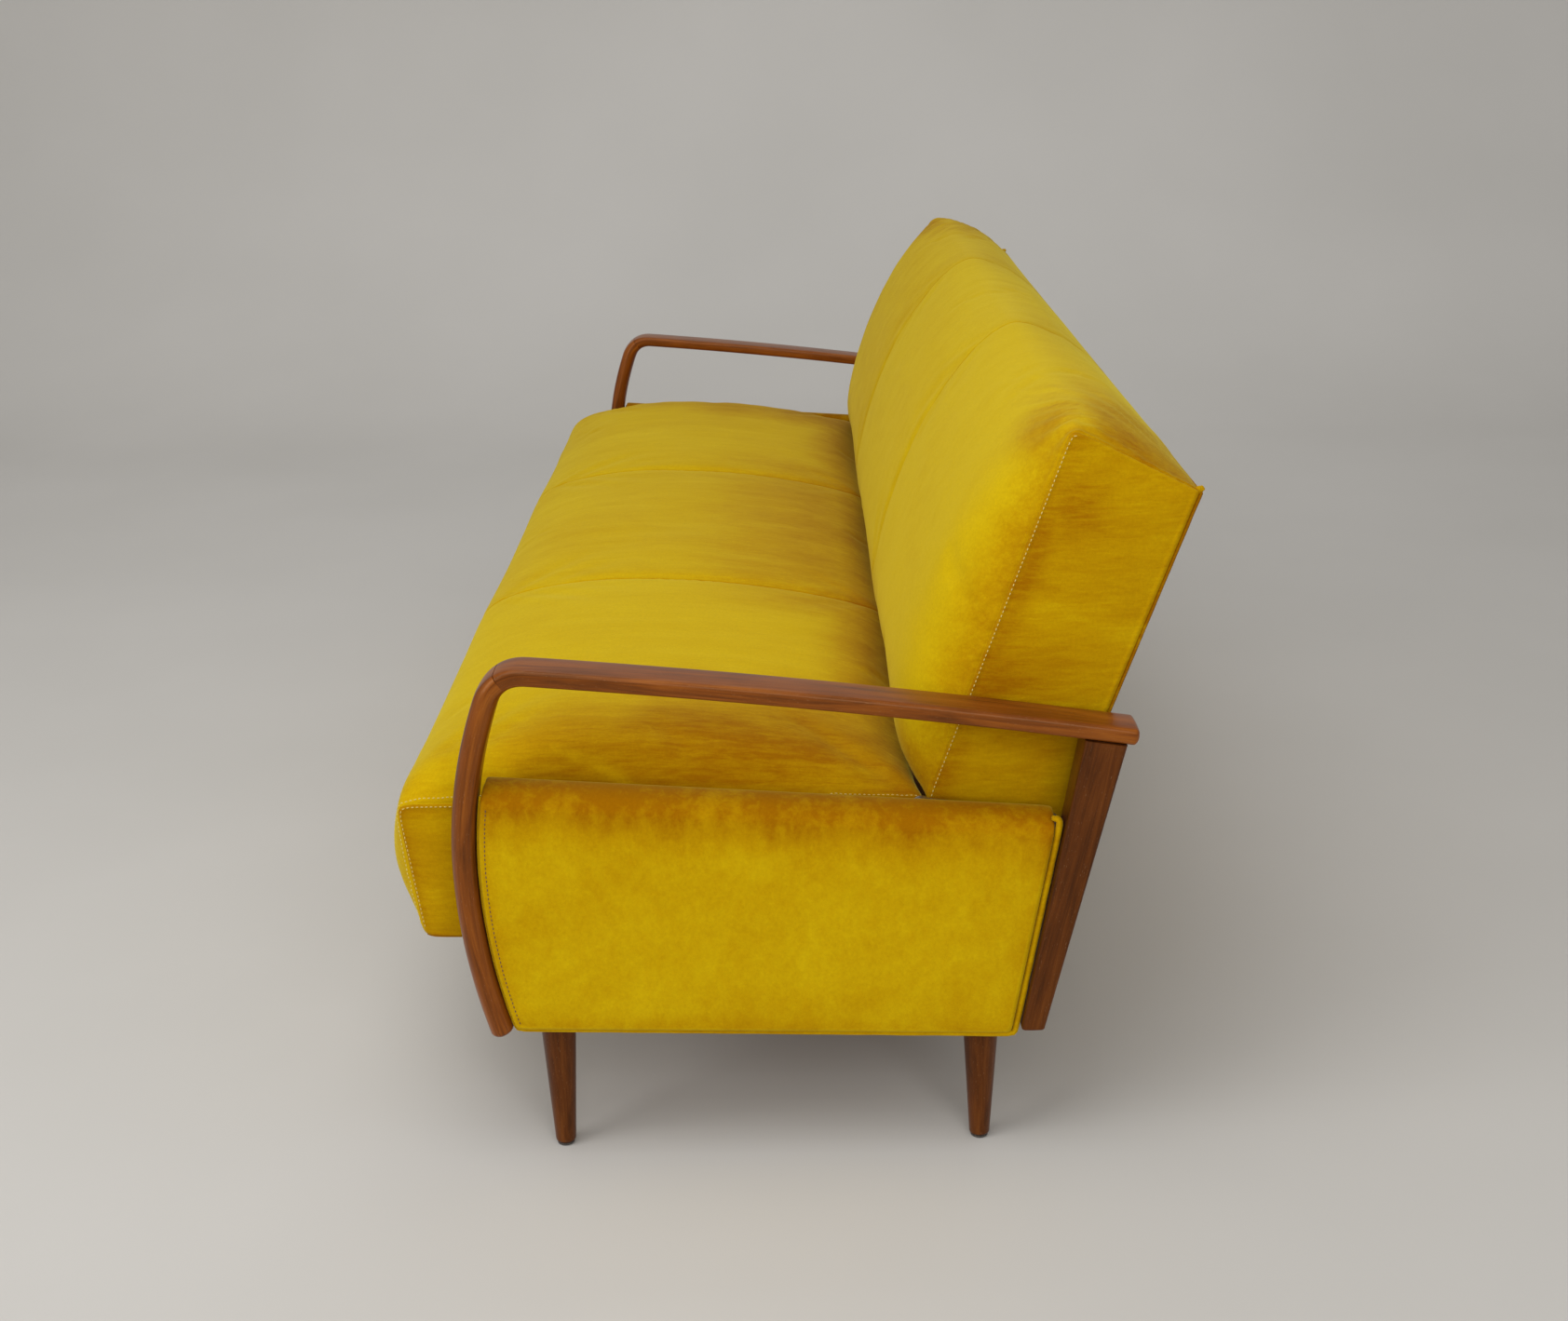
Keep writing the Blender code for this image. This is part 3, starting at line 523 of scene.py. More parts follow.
# Materials --------------------------------------------------------------------------------------
class Nodes:
    """Short-hand for building a material's node tree."""

    def __init__(self, name):
        self.material = bpy.data.materials.new(name)
        self.material.use_nodes = True
        self.tree = self.material.node_tree
        self.shader = self.tree.nodes["Principled BSDF"]

    def add(self, kind, links=(), **values):
        node = self.tree.nodes.new("ShaderNode" + kind)
        for key, value in values.items():
            if hasattr(node, key):
                setattr(node, key, value)
            else:
                node.inputs[key.replace("_", " ")].default_value = value
        for socket, source in dict(links).items():
            self.tree.links.new(source, node.inputs[socket])
        return node

    def math(self, operation, first, second=None, third=None):
        node = self.tree.nodes.new("ShaderNodeMath")
        node.operation = operation
        for socket, value in zip(node.inputs, (first, second, third)):
            if isinstance(value, (int, float)):
                socket.default_value = value
            elif value is not None:
                self.tree.links.new(value, socket)
        return node.outputs[0]

    def ramp(self, source, stops):
        node = self.tree.nodes.new("ShaderNodeValToRGB")
        ramp = node.color_ramp
        while len(ramp.elements) < len(stops):
            ramp.elements.new(0.5)
        for element, (place, colour) in zip(ramp.elements, stops):
            element.position = place
            element.color = (*colour, 1.0)
        self.tree.links.new(source, node.inputs[0])
        return node.outputs[0]

    def mix(self, blend, factor, first, second):
        node = self.tree.nodes.new("ShaderNodeMix")
        node.data_type, node.blend_type = "RGBA", blend
        for socket, value in zip((node.inputs[0], node.inputs[6], node.inputs[7]), (factor, first, second)):
            if isinstance(value, (int, float)):
                socket.default_value = value
            elif isinstance(value, tuple):
                socket.default_value = (*value, 1.0)
            else:
                self.tree.links.new(value, socket)
        return node.outputs[2]

    def noise(self, vector, scale, detail=3.0, roughness=0.5, stretch=None, distortion=0.0):
        """Fractal noise, finer along the axes where stretch is larger."""
        if stretch is not None:
            mapping = self.tree.nodes.new("ShaderNodeMapping")
            mapping.inputs["Scale"].default_value = stretch
            self.tree.links.new(vector, mapping.inputs["Vector"])
            vector = mapping.outputs[0]
        node = self.add("TexNoise", {"Vector": vector}, Scale=scale, Detail=detail, Roughness=roughness,
                        Distortion=distortion)
        return node.outputs["Fac"]

    def bumps(self, layers):
        """Bump nodes stacked from (height, strength, distance)."""
        normal = None
        for height, strength, distance in layers:
            links = {"Height": height}
            if normal is not None:
                links["Normal"] = normal
            normal = self.add("Bump", links, Strength=strength, Distance=distance).outputs[0]
        self.tree.links.new(normal, self.shader.inputs["Normal"])

    def finish(self, colour, roughness=None, **constants):
        self.tree.links.new(colour, self.shader.inputs["Base Color"])
        if roughness is not None:
            self.tree.links.new(roughness, self.shader.inputs["Roughness"])
        for key, value in constants.items():
            self.shader.inputs[key.replace("_", " ")].default_value = value
        return self.material


# Velvet tones from light to dark; the dark amber end is both the pile's own darker side and the colour of painted
# shade.
VELVET_LIGHT = (0.650, 0.455, 0.0030)
VELVET_MID = (0.520, 0.300, 0.0010)
VELVET_DARK_AND_SHADE = (0.350, 0.135, 0.0003)


def velvet(name, streak):
    """Mustard velvet: its pile lies one way or the other, so it is light or amber, in long soft strokes; the
    per-point nap attribute also carries painted shade and painted highlight.
    """
    n = Nodes(name)
    place = n.add("TexCoord").outputs["Object"]
    nap_and_shade = n.add("Attribute", attribute_name="nap_and_shade").outputs["Fac"]
    strokes = n.noise(place, 1.0, 6.0, 0.62, streak, 0.4)
    hairlines = n.noise(place, 1.0, 5.0, 0.70, tuple(6.5 * s for s in streak), 0.3)
    patches = n.noise(place, 1.0, 3.0, 0.55, (7.0, 4.0, 8.0), 0.6)
    fibres = n.noise(place, 1500.0, 2.0, 0.7)
    weave = n.noise(place, 330.0, 3.0, 0.7)
    uneven = n.math("ADD", n.math("MULTIPLY", n.math("SUBTRACT", strokes, 0.5), 0.80),
                    n.math("MULTIPLY", n.math("SUBTRACT", patches, 0.5), 0.70))
    uneven = n.math("ADD", uneven, n.math("MULTIPLY", n.math("SUBTRACT", hairlines, 0.5), 0.75))
    # The per-point attribute darkens towards amber: real pile direction mixed with painted shade and painted
    # highlight.
    lean_and_shade = n.math("MULTIPLY_ADD", uneven, n.math("MULTIPLY_ADD", nap_and_shade, 1.15, 0.30), nap_and_shade)
    colour = n.ramp(lean_and_shade, ((0.02, VELVET_LIGHT), (0.42, VELVET_MID), (0.95, VELVET_DARK_AND_SHADE)))
    pile = n.mix("MIX", 0.55, fibres, weave)
    speck = n.ramp(pile, ((0.34, (0.70, 0.66, 0.60)), (0.66, (1.0, 1.0, 1.0))))
    colour = n.mix("MULTIPLY", 0.60, colour, speck)
    rough = n.math("MULTIPLY_ADD", strokes, 0.20, 0.62)
    n.bumps(((strokes, 0.20, 0.0016), (hairlines, 0.22, 0.0008), (weave, 0.22, 0.0006),
             (fibres, 0.25, 0.0003)))
    return n.finish(colour, rough, Sheen_Weight=0.34, Sheen_Roughness=0.36,
                    Sheen_Tint=(1.0, 0.92, 0.13, 1.0), Specular_IOR_Level=0.10,
                    Specular_Tint=(1.0, 0.80, 0.14, 1.0))


def lacquered_wood(name, dark, mid, light, gloss=0.40):
    """Stained beech under a satin lacquer, its grain along the piece's own length."""
    n = Nodes(name)
    place = n.add("Attribute", attribute_name="grain").outputs["Vector"]
    figure = n.noise(place, 1.0, 5.0, 0.6, (7.0, 95.0, 95.0), 0.9)
    streaks = n.noise(place, 1.0, 4.0, 0.7, (16.0, 520.0, 520.0), 0.2)
    clouds = n.noise(place, 1.0, 2.0, 0.5, (9.0, 20.0, 20.0))
    pores = n.noise(place, 1.0, 2.0, 0.6, (230.0, 1500.0, 1500.0))
    tone = n.math("MULTIPLY_ADD", n.math("SUBTRACT", streaks, 0.5), 0.55,
                  n.math("MULTIPLY_ADD", n.math("SUBTRACT", clouds, 0.5), 0.5, figure))
    colour = n.ramp(tone, ((0.25, dark), (0.52, mid), (0.85, light)))
    # Pale dots at the pores: partly the wood's own filled pores, partly a painted dotted highlight.
    pale_pores_and_glints = n.ramp(pores, ((0.66, (0.0, 0.0, 0.0)), (0.74, (0.42, 0.42, 0.42))))
    colour = n.mix("MIX", n.math("MULTIPLY", pale_pores_and_glints, 0.85), colour, (0.42, 0.25, 0.13))
    rough = n.math("MULTIPLY_ADD", figure, 0.16, 0.24)
    n.bumps(((figure, 0.10, 0.0006), (streaks, 0.14, 0.0003), (pores, 0.20, 0.0002)))
    return n.finish(colour, rough, Coat_Weight=0.07, Coat_Roughness=0.14, Specular_IOR_Level=gloss,
                    Specular_Tint=(1.0, 0.58, 0.28, 1.0))


def sawn_wood(name, dark, light, stretch):
    """Bare softwood of the hidden frame: growth rings and fine fibres."""
    n = Nodes(name)
    place = n.add("TexCoord").outputs["Object"]
    rings = n.noise(place, 1.0, 3.0, 0.5, stretch, 1.2)
    fibre = n.noise(place, 1.0, 4.0, 0.7, tuple(12 * s for s in stretch))
    bands = n.math("FRACT", n.math("MULTIPLY", rings, 9.0))
    colour = n.ramp(n.math("MULTIPLY_ADD", n.math("SUBTRACT", fibre, 0.5), 0.5, bands),
                    ((0.05, light), (0.75, light), (1.0, dark)))
    n.bumps(((fibre, 0.3, 0.0006),))
    return n.finish(colour, n.math("MULTIPLY_ADD", fibre, 0.2, 0.55))


def plain_cloth(name, dark, light, thread):
    """A coarse plain weave or felt."""
    n = Nodes(name)
    place = n.add("TexCoord").outputs["Object"]
    weft = n.add("TexWave", {"Vector": place}, bands_direction="X", Scale=thread, Distortion=1.5)
    warp = n.add("TexWave", {"Vector": place}, bands_direction="Y", Scale=thread, Distortion=1.5)
    cloth = n.math("MULTIPLY", weft.outputs["Fac"], warp.outputs["Fac"])
    worn = n.noise(place, 14.0, 4.0)
    colour = n.ramp(n.math("MULTIPLY_ADD", worn, 0.5, n.math("MULTIPLY", cloth, 0.5)),
                    ((0.15, dark), (0.75, light)))
    n.bumps(((cloth, 0.4, 0.0006), (worn, 0.2, 0.001)))
    return n.finish(colour, n.math("MULTIPLY_ADD", worn, 0.1, 0.82))


def steel(name, dark, light):
    """Zinc-plated steel with rolling marks and dull spots."""
    n = Nodes(name)
    place = n.add("TexCoord").outputs["Object"]
    marks = n.noise(place, 1.0, 4.0, 0.6, (40.0, 600.0, 60.0))
    spots = n.noise(place, 55.0, 4.0)
    colour = n.ramp(n.math("MULTIPLY_ADD", spots, 0.6, n.math("MULTIPLY", marks, 0.4)),
                    ((0.25, dark), (0.75, light)))
    n.bumps(((marks, 0.12, 0.0002), (spots, 0.1, 0.0004)))
    return n.finish(colour, n.math("MULTIPLY_ADD", spots, 0.3, 0.24), Metallic=1.0)


def moulded_plastic(name, colour_low, colour_high):
    """Dark moulded plastic, scuffed underneath."""
    n = Nodes(name)
    place = n.add("TexCoord").outputs["Object"]
    grain = n.noise(place, 900.0, 2.0)
    scuffs = n.noise(place, 1.0, 5.0, 0.7, (60.0, 420.0, 60.0))
    colour = n.ramp(scuffs, ((0.40, colour_low), (0.75, colour_high)))
    n.bumps(((grain, 0.2, 0.0002), (scuffs, 0.15, 0.0003)))
    return n.finish(colour, n.math("MULTIPLY_ADD", scuffs, 0.3, 0.35))


def thread(name, dark, light):
    """Twisted sewing thread."""
    n = Nodes(name)
    place = n.add("TexCoord").outputs["Object"]
    twist = n.noise(place, 1600.0, 2.0)
    colour = n.ramp(twist, ((0.35, dark), (0.70, light)))
    n.bumps(((twist, 0.4, 0.0002),))
    return n.finish(colour, n.math("MULTIPLY_ADD", twist, 0.2, 0.5), Sheen_Weight=0.2)


VELVET = velvet("velvet_mustard", (34.0, 5.0, 34.0))
VELVET_SIDE = velvet("velvet_sides", (17.0, 15.0, 12.0))
VELVET_EDGE = velvet("velvet_fold", (60.0, 22.0, 60.0))
ARM_WOOD = lacquered_wood("wood_arms", (0.078, 0.019, 0.0030), (0.188, 0.047, 0.0050),
                          (0.310, 0.092, 0.0090))
LEG_WOOD = lacquered_wood("wood_legs", (0.042, 0.011, 0.0025), (0.092, 0.024, 0.0038),
                          (0.155, 0.045, 0.0070), 0.24)
THREAD_LIGHT = thread("thread_light", (0.52, 0.38, 0.06), (0.80, 0.64, 0.20))
THREAD_DARK = thread("thread_amber", (0.09, 0.034, 0.002), (0.18, 0.075, 0.005))
FRAME_MATERIALS = {
    "pine": sawn_wood("pine_boards", (0.36, 0.20, 0.09), (0.60, 0.42, 0.23), (3.0, 26.0, 26.0)),
    "hardboard": sawn_wood("pressed_board", (0.17, 0.09, 0.045), (0.26, 0.15, 0.08), (90.0, 90.0, 90.0)),
    "felt": plain_cloth("wadding", (0.36, 0.33, 0.27), (0.50, 0.47, 0.40), 240.0),
    "lining": plain_cloth("dust_lining", (0.38, 0.33, 0.23), (0.54, 0.48, 0.36), 420.0),
    "steel": steel("zinc_steel", (0.30, 0.30, 0.31), (0.52, 0.52, 0.53)),
    "glide_plastic": moulded_plastic("glide_moulding", (0.045, 0.038, 0.033), (0.10, 0.09, 0.08)),
    "velvet": VELVET,
    "lacquered_wood": LEG_WOOD,
}


def finish_frame_nodes():
    """Give every CAD node the detailed material of its slot."""
    slot_of = {part["node"]: part["material_slot"] for part in frame["record"]["subparts"]}
    for node, obj in frame["nodes"].items():
        material = FRAME_MATERIALS[slot_of[node]]
        for holder in obj.material_slots:
            holder.material = material
        if not obj.material_slots:
            obj.data.materials.append(material)


# Stitching --------------------------------------------------------------------------------------
STITCH_PITCH = 0.0048
STITCH_RADIUS = 0.00050


def stitches(name, rows, material, body, length=0.0031):
    """Rows of sewn stitches in one mesh. A row is a list of (point, outward normal) along a seam."""
    sides = 6
    rings = ((-0.5, 0.45), (-0.34, 0.95), (0.0, 1.1), (0.34, 0.95), (0.5, 0.45))
    verts, faces = [], []
    for row in rows:
        places = np.array([p for p, _ in row])
        normals = np.array([n for _, n in row])
        arc = arc_lengths(places)
        for at in np.arange(STITCH_PITCH, arc[-1] - STITCH_PITCH / 2, STITCH_PITCH):
            centre = np.array([np.interp(at, arc, places[:, k]) for k in range(3)])
            ahead = np.array([np.interp(at + 0.001, arc, places[:, k]) for k in range(3)]) - centre
            out = np.array([np.interp(at, arc, normals[:, k]) for k in range(3)])
            ahead /= max(np.linalg.norm(ahead), 1e-9)
            across = np.cross(ahead, out)
            across /= max(np.linalg.norm(across), 1e-9)
            out = np.cross(across, ahead)
            first = len(verts)
            for share, width in rings:
                middle = centre + ahead * share * length - out * 0.0010 * abs(share)
                for k in range(sides):
                    turn = 2 * math.pi * k / sides
                    radius = STITCH_RADIUS * width
                    verts.append(middle + radius * (math.cos(turn) * across + math.sin(turn) * out))
            faces += tube_faces(np.arange(first, len(verts)).reshape(len(rings), sides))
    obj = mesh_object(name, verts, faces, material)
    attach(obj, body)
    return obj


def settle(tree, points, direction, lift=0.0002):
    """Each point carried along direction onto a surface, with that surface's normal."""
    row = []
    for point in points:
        start = Vector(point) - direction * 0.03
        place, normal, _, _ = tree.ray_cast(start, direction, 0.06)
        if place is not None:
            if normal.dot(direction) > 0:
                normal = -normal
            row.append((place + normal * lift, normal))
    return row


def surface_tree(obj):
    return BVHTree.FromPolygons([v.co for v in obj.data.vertices],
                                [tuple(p.vertices) for p in obj.data.polygons])


def inset_path(points, distance):
    """An open (y, z) path moved sideways by distance, to its right."""
    points = np.array(points)
    ahead = np.gradient(points, axis=0)
    ahead /= np.maximum(np.linalg.norm(ahead, axis=1, keepdims=True), 1e-9)
    return points + np.stack((ahead[:, 1], -ahead[:, 0]), 1) * distance


# Seat and back ----------------------------------------------------------------------------------
SEAT_FOLD = (np.array((0.852, -0.243)), np.array((0.8815, -0.146)))    # (reach, y) of its two ends
COVER_GIVE = 0.0070                                # the most that the simulated cloth may move
COVER_PRESSURE, COVER_GROWTH = 3.0, 0.001


def cushion_lines(form, spacing_x=0.0082, spacing=0.0052):
    """The fine lattice of a cushion."""
    half = CUSHION_HALF
    xs = lines(-half, half, spacing_x, (-half, -SEAM_X, SEAM_X, half))
    along = lines(0.0, form.lengths[0], spacing, (0.0, form.lengths[0])) / form.lengths[0]
    through = lines(0.0, form.lengths[1], spacing, (0.0, form.lengths[1])) / form.lengths[1]
    return xs, along, through


def sim_lines(form):
    """The even coarse lattice that is simulated; its X lines fall on the cross seams."""
    count = 3 * round(2 * SEAM_X / SIM_SPACING)
    along = np.linspace(0, 1, round(form.lengths[0] / SIM_SPACING) + 1)
    through = np.linspace(0, 1, round(form.lengths[1] / SIM_SPACING) + 1)
    return np.linspace(-CUSHION_HALF, CUSHION_HALF, count + 1), along, through


def hold_cushion(x, b, c):
    """Held: the underside, the end seams, the cross seams, and the edges that meet the frame."""
    seam = np.abs(np.abs(x) - SEAM_X) < 1e-4
    end = np.abs(x) > CUSHION_HALF - 1e-4
    border = end & ((b < 1e-4) | (b > 1 - 1e-4) | (c < 1e-4) | (c > 1 - 1e-4))
    return np.where(seam | border | (c < 1e-4), 1.0, 0.0)


def seam_relief(s, rng, along):
    """Sewn lines: the cross seams and the seams round the ends, with the puckers beside them."""
    ring = ~s.on_end
    cross = np.abs(np.abs(s.x) - SEAM_X)
    height = np.where(ring, -0.0026 * bump(cross, 0.0012) - 0.0014 * bump(cross, 0.011), 0.0)
    height += np.where(ring, 0.00045 * bump(cross - 0.009, 0.006) * ripple(rng, along, 0.021), 0.0)
    at_seam = -0.0018 * bump(s.to_end, 0.0012) + 0.0006 * bump(s.to_end - 0.0030, 0.0020)
    height += np.where(ring, at_seam, 0.0)
    border = -0.0012 * bump(s.inward, 0.0012) + 0.0005 * bump(s.inward - 0.0030, 0.0016)
    height += np.where(s.on_end, border - 0.0006 * bump(s.inward - 0.0066, 0.0018), 0.0)
    height += np.where(ring, 0.00055 * bump(s.to_end - 0.007, 0.009) * ripple(rng, along, 0.022), 0.0)
    return height


def panel_tone(x, tones):
    """A value for each sewn panel, from -X to +X."""
    return np.where(x < -SEAM_X, tones[0], np.where(x < SEAM_X, tones[1], tones[2]))


def seat_fold(s):
    """The short slanting fold near the front of each end of the seat, as a strength from 0 to 1."""
    start, stop = SEAT_FOLD
    run = stop - start
    reach_x, reach_y = np.abs(s.x) - start[0], s.y - start[1]
    along = (reach_x * run[0] + reach_y * run[1]) / (run ** 2).sum()
    off = (reach_x * run[1] - reach_y * run[0]) / np.hypot(*run)
    ridge = bump(off - 0.001 * np.sin(3 * along), 0.0032)
    return ridge * smooth(0.0, 0.12, along) * smooth(1.0, 0.85, along) * (s.c > 0.99)


def make_seat(shift):
    xs, b, c = cushion_lines(SEAT)
    s = Surface(SEAT, xs, b, c, shift(xs, b, c))
    rng = np.random.default_rng(11)
    along = s.y + s.z
    height = seam_relief(s, rng, along)
    height += 0.0006 * ripple(rng, s.y, 0.19) * ripple(rng, s.x, 0.27)
    near_end = smooth(0.62, 0.84, np.abs(s.x)) * (s.c > 0.99)
    height += 0.0005 * ripple(rng, s.y + 0.25 * s.x, 0.075) * near_end
    reach = np.abs(s.x)
    fold = seat_fold(s)
    height += 0.0009 * fold
    height = np.where(s.c < 1e-4, 0.0, height)

    # Painted shade: amber towards the near end, in the crease against the back, and on the far and middle panels;
    # the middle is also darker towards the rear.
    diagonal = reach + 0.30 * (s.y + 0.10) + 0.025 * ripple(rng, s.y, 0.2)
    near_end_shade = smooth(0.64, 0.86, diagonal) * (0.30 + 0.70 * smooth(-0.36, -0.20, s.y))
    crease_shade = 0.70 * smooth(0.02, 0.125, s.y)
    rear = 0.42 * smooth(-0.16, 0.08, s.y) * smooth(0.12, 0.0, np.abs(np.abs(s.x) - 0.10) - 0.24)
    nap_and_shade = 0.05 + 0.10 * panel_tone(s.x, (1.3, 1.3, 0.1)) + np.maximum.reduce((0.72 * near_end_shade, crease_shade, rear))
    # Painted shade over the end panels, deepest just inside their seams.
    nap_and_shade = np.where(s.on_end, 0.44 + 0.2 * bump(s.inward, 0.012), nap_and_shade)
    # Painted highlight along the fold's ridge.
    nap_and_shade -= 0.28 * fold
    # Painted shadow along the bottom edge, and painted shade in the cross seams.
    nap_and_shade += 0.5 * bump(s.c * SEAT.lengths[1], 0.004) + 0.34 * bump(np.abs(reach - SEAM_X), 0.0022) * ~s.on_end
    seat = s.finished("seat_cushion", VELVET, height, nap_and_shade)
    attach(seat, "seat")
    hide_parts("seat_cover", "seat_padding")
    return seat


def back_place(s):
    """(up, behind) of the back's points."""
    dy, dz = s.y - PIVOT[0], s.z - PIVOT[1]
    lean_y, lean_z = math.sin(BACK_LEAN), math.cos(BACK_LEAN)
    return dy * lean_y + dz * lean_z, dy * lean_z - dz * lean_y


def make_back(shift):
    xs, b, c = cushion_lines(BACK)
    s = Surface(BACK, xs, b, c, shift(xs, b, c))
    rng = np.random.default_rng(23)
    up, behind = back_place(s)
    along = s.z - s.y
    height = seam_relief(s, rng, along)
    height += 0.0007 * ripple(rng, up, 0.16) * ripple(rng, s.x, 0.24)
    reach = np.abs(s.x)
    corner = 1 - s.to_end / 0.30
    ring = ~s.on_end
    # The cover is drawn over the crest towards the rear corner, in a fan of small folds.
    from_end, from_rear = s.to_end, (BACK_DEPTH - behind) + np.maximum(0.0, 0.40 - up)
    angle = np.arctan2(from_rear, from_end + 0.004)
    radius = np.hypot(from_rear, from_end)
    crest = bump(up - 0.405, 0.030) * ring
    fan = ripple(rng, angle + 0.6 * radius, 0.12, 7, 0.75)
    fan = fan * bump(radius - 0.15, 0.085) * smooth(-0.1, 0.35, corner)
    height += 0.0017 * fan * crest
    height += 0.0009 * bump(behind - 0.075 - 0.01 * ripple(rng, s.x, 0.4), 0.010) * ring * (up > 0.33) \
        * smooth(0.02, 0.12, s.to_end)
    height = np.where(s.c < 1e-4, 0.0, height)

    # Painted shade: a band along the end seams, the top of the crest, the fan of folds, the low crease over the
    # seat, an amber patch by the near top corner, and darker far panels.
    shade_band = bump(s.to_end, 0.030) * ring
    crest_top_shade = smooth(0.0, 0.05, behind) * (up > 0.35) * (0.14 + 0.56 * smooth(0.34, 0.03, s.to_end))
    fold = bump(radius - 0.16, 0.09) * crest * smooth(0.0, 0.4, corner)
    fold = fold * (0.5 + 0.6 * ripple(rng, angle, 0.11))
    low = 0.6 * smooth(0.085, 0.02, up)
    corner_shade = 0.62 * bump(np.hypot((up - 0.392) / 0.030, (s.to_end - 0.075) / 0.060), 1.0) * ring
    nap_and_shade = 0.03 + 0.10 * panel_tone(s.x, (1.6, 0.4, 0.0))
    nap_and_shade += np.maximum.reduce((0.50 * shade_band, 0.55 * fold, low, crest_top_shade, corner_shade))
    end_shade_patch = bump(np.hypot(up - 0.345, behind - 0.035), 0.035)
    end_shade_patch = end_shade_patch + 0.9 * bump(np.hypot(up - 0.13, behind - 0.02), 0.05)
    end_shade_patch = end_shade_patch + 0.6 * bump(np.hypot((up - 0.10) / 1.6, behind - 0.10), 0.035)
    seam_side_shade = bump(behind - 0.012, 0.016)
    # Painted shade over the end panels, with darker patches and a darker strip beside the front seam.
    nap_and_shade = np.where(s.on_end, 0.47 + 0.38 * np.maximum(end_shade_patch, 0.75 * seam_side_shade), nap_and_shade)
    # Painted shade in the cross seams.
    nap_and_shade += 0.34 * bump(np.abs(reach - SEAM_X), 0.0022) * ring
    back = s.finished("back_cushion", VELVET, height, nap_and_shade)
    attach(back, "back")
    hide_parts("back_cover", "back_padding")
    return back


def end_stitches(seat, back):
    """Double stitching round the seat's end seams, and a single row on the back's end panels."""
    seat_tree, back_tree = surface_tree(seat), surface_tree(back)
    seat_end = seat_section(CUSHION_HALF)
    share = np.linspace(0, 1, 120)
    seat_path = np.concatenate((seat_end.side(0, share[6:]), seat_end.side(1, share[1:])))
    back_end = back_section(CUSHION_HALF)
    back_path = np.concatenate((back_end.side(1, share), back_end.side(2, share[1:12])))
    seat_rows, back_rows = [], []
    for _, side in SIDES:
        inward = Vector((-side, 0, 0))
        for path, distance, rows, tree in ((seat_path, 0.0030, seat_rows, seat_tree),
                                           (back_path, 0.0034, back_rows, back_tree)):
            row = inset_path(path, distance)
            rows.append(settle(tree, [(side * CUSHION_HALF, y, z) for y, z in row], inward))
        ring = seat_section(side * (CUSHION_HALF - 0.0032))
        row = []
        for part, at in ((0, share[8:]), (1, share[1:])):
            points = ring.side(part, at)
            ahead = np.gradient(points, axis=0)
            for (y, z), (dy, dz) in zip(points, ahead):
                out = Vector((0, -dz, dy)).normalized()
                row += settle(seat_tree, [(side * (CUSHION_HALF - 0.0032), y, z)], -out)
        seat_rows.append(row)
    stitches("seat_end_stitches", seat_rows, THREAD_LIGHT, "seat")
    stitches("back_end_stitches", back_rows, THREAD_LIGHT, "back")


def make_rear_cover():
    """The cloth-covered panel that closes the back's rear, its folded edge a little proud."""
    half = CUSHION_HALF - 0.001
    low, high = 0.0115, 0.3925
    edge = np.array((0.0, 0.0015, 0.003, 0.005, 0.008))
    xs = np.concatenate((np.linspace(-half, half, 150), -half + edge, half - edge))
    ups = np.concatenate((np.linspace(low, high, 44), low + edge, high - edge))
    xs, ups = np.unique(np.round(xs, 6)), np.unique(np.round(ups, 6))
    depth = np.array((0.0, 0.2, 0.55, 0.85, 1.0))
    at_x, at_up, at_d = np.meshgrid(xs, ups, depth, indexing="ij")
    rng = np.random.default_rng(5)
    rim = np.minimum(half - np.abs(at_x), np.minimum(at_up - low, high - at_up))
    puff = 0.0030 * (1 - np.exp(-rim / 0.05)) - 0.0012 * bump(rim - 0.0075, 0.0022)
    puff += 0.0005 * ripple(rng, at_x, 0.22) * ripple(rng, at_up, 0.12) * smooth(0.01, 0.06, rim)
    puff += 0.0004 * bump(rim - 0.012, 0.010) * ripple(rng, at_x + at_up, 0.030)
    roll = 0.0028 * (1 - np.sqrt(np.clip(1 - ((at_d - 0.5) / 0.5) ** 2, 0, 1)))
    at_rim = (rim < 1e-5) * roll
    behind = BACK_DEPTH + 0.0003 + at_d * (0.0042 + 0.8 * puff)
    up = at_up - np.sign(at_up - 0.5 * (low + high)) * at_rim
    grid = np.stack((at_x - np.sign(at_x) * at_rim, *back_point(up, behind)), -1)
    outside, quads = box_numbers(grid.shape[:3])
    # Painted shade along the rolled rim and in the groove beside it.
    nap_and_shade = np.where(rim < 0.004, 0.95, 0.22 + 0.3 * bump(rim - 0.008, 0.006))
    cover = mesh_object("back_rear_cover", grid[outside], quads, VELVET, nap_and_shade[outside])
    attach(cover, "back")
    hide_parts("back_rear_panel")
    for side_name, side in SIDES:
        make_tuck("corner_tuck_" + side_name, side * (half - 0.0035), high - 0.001)


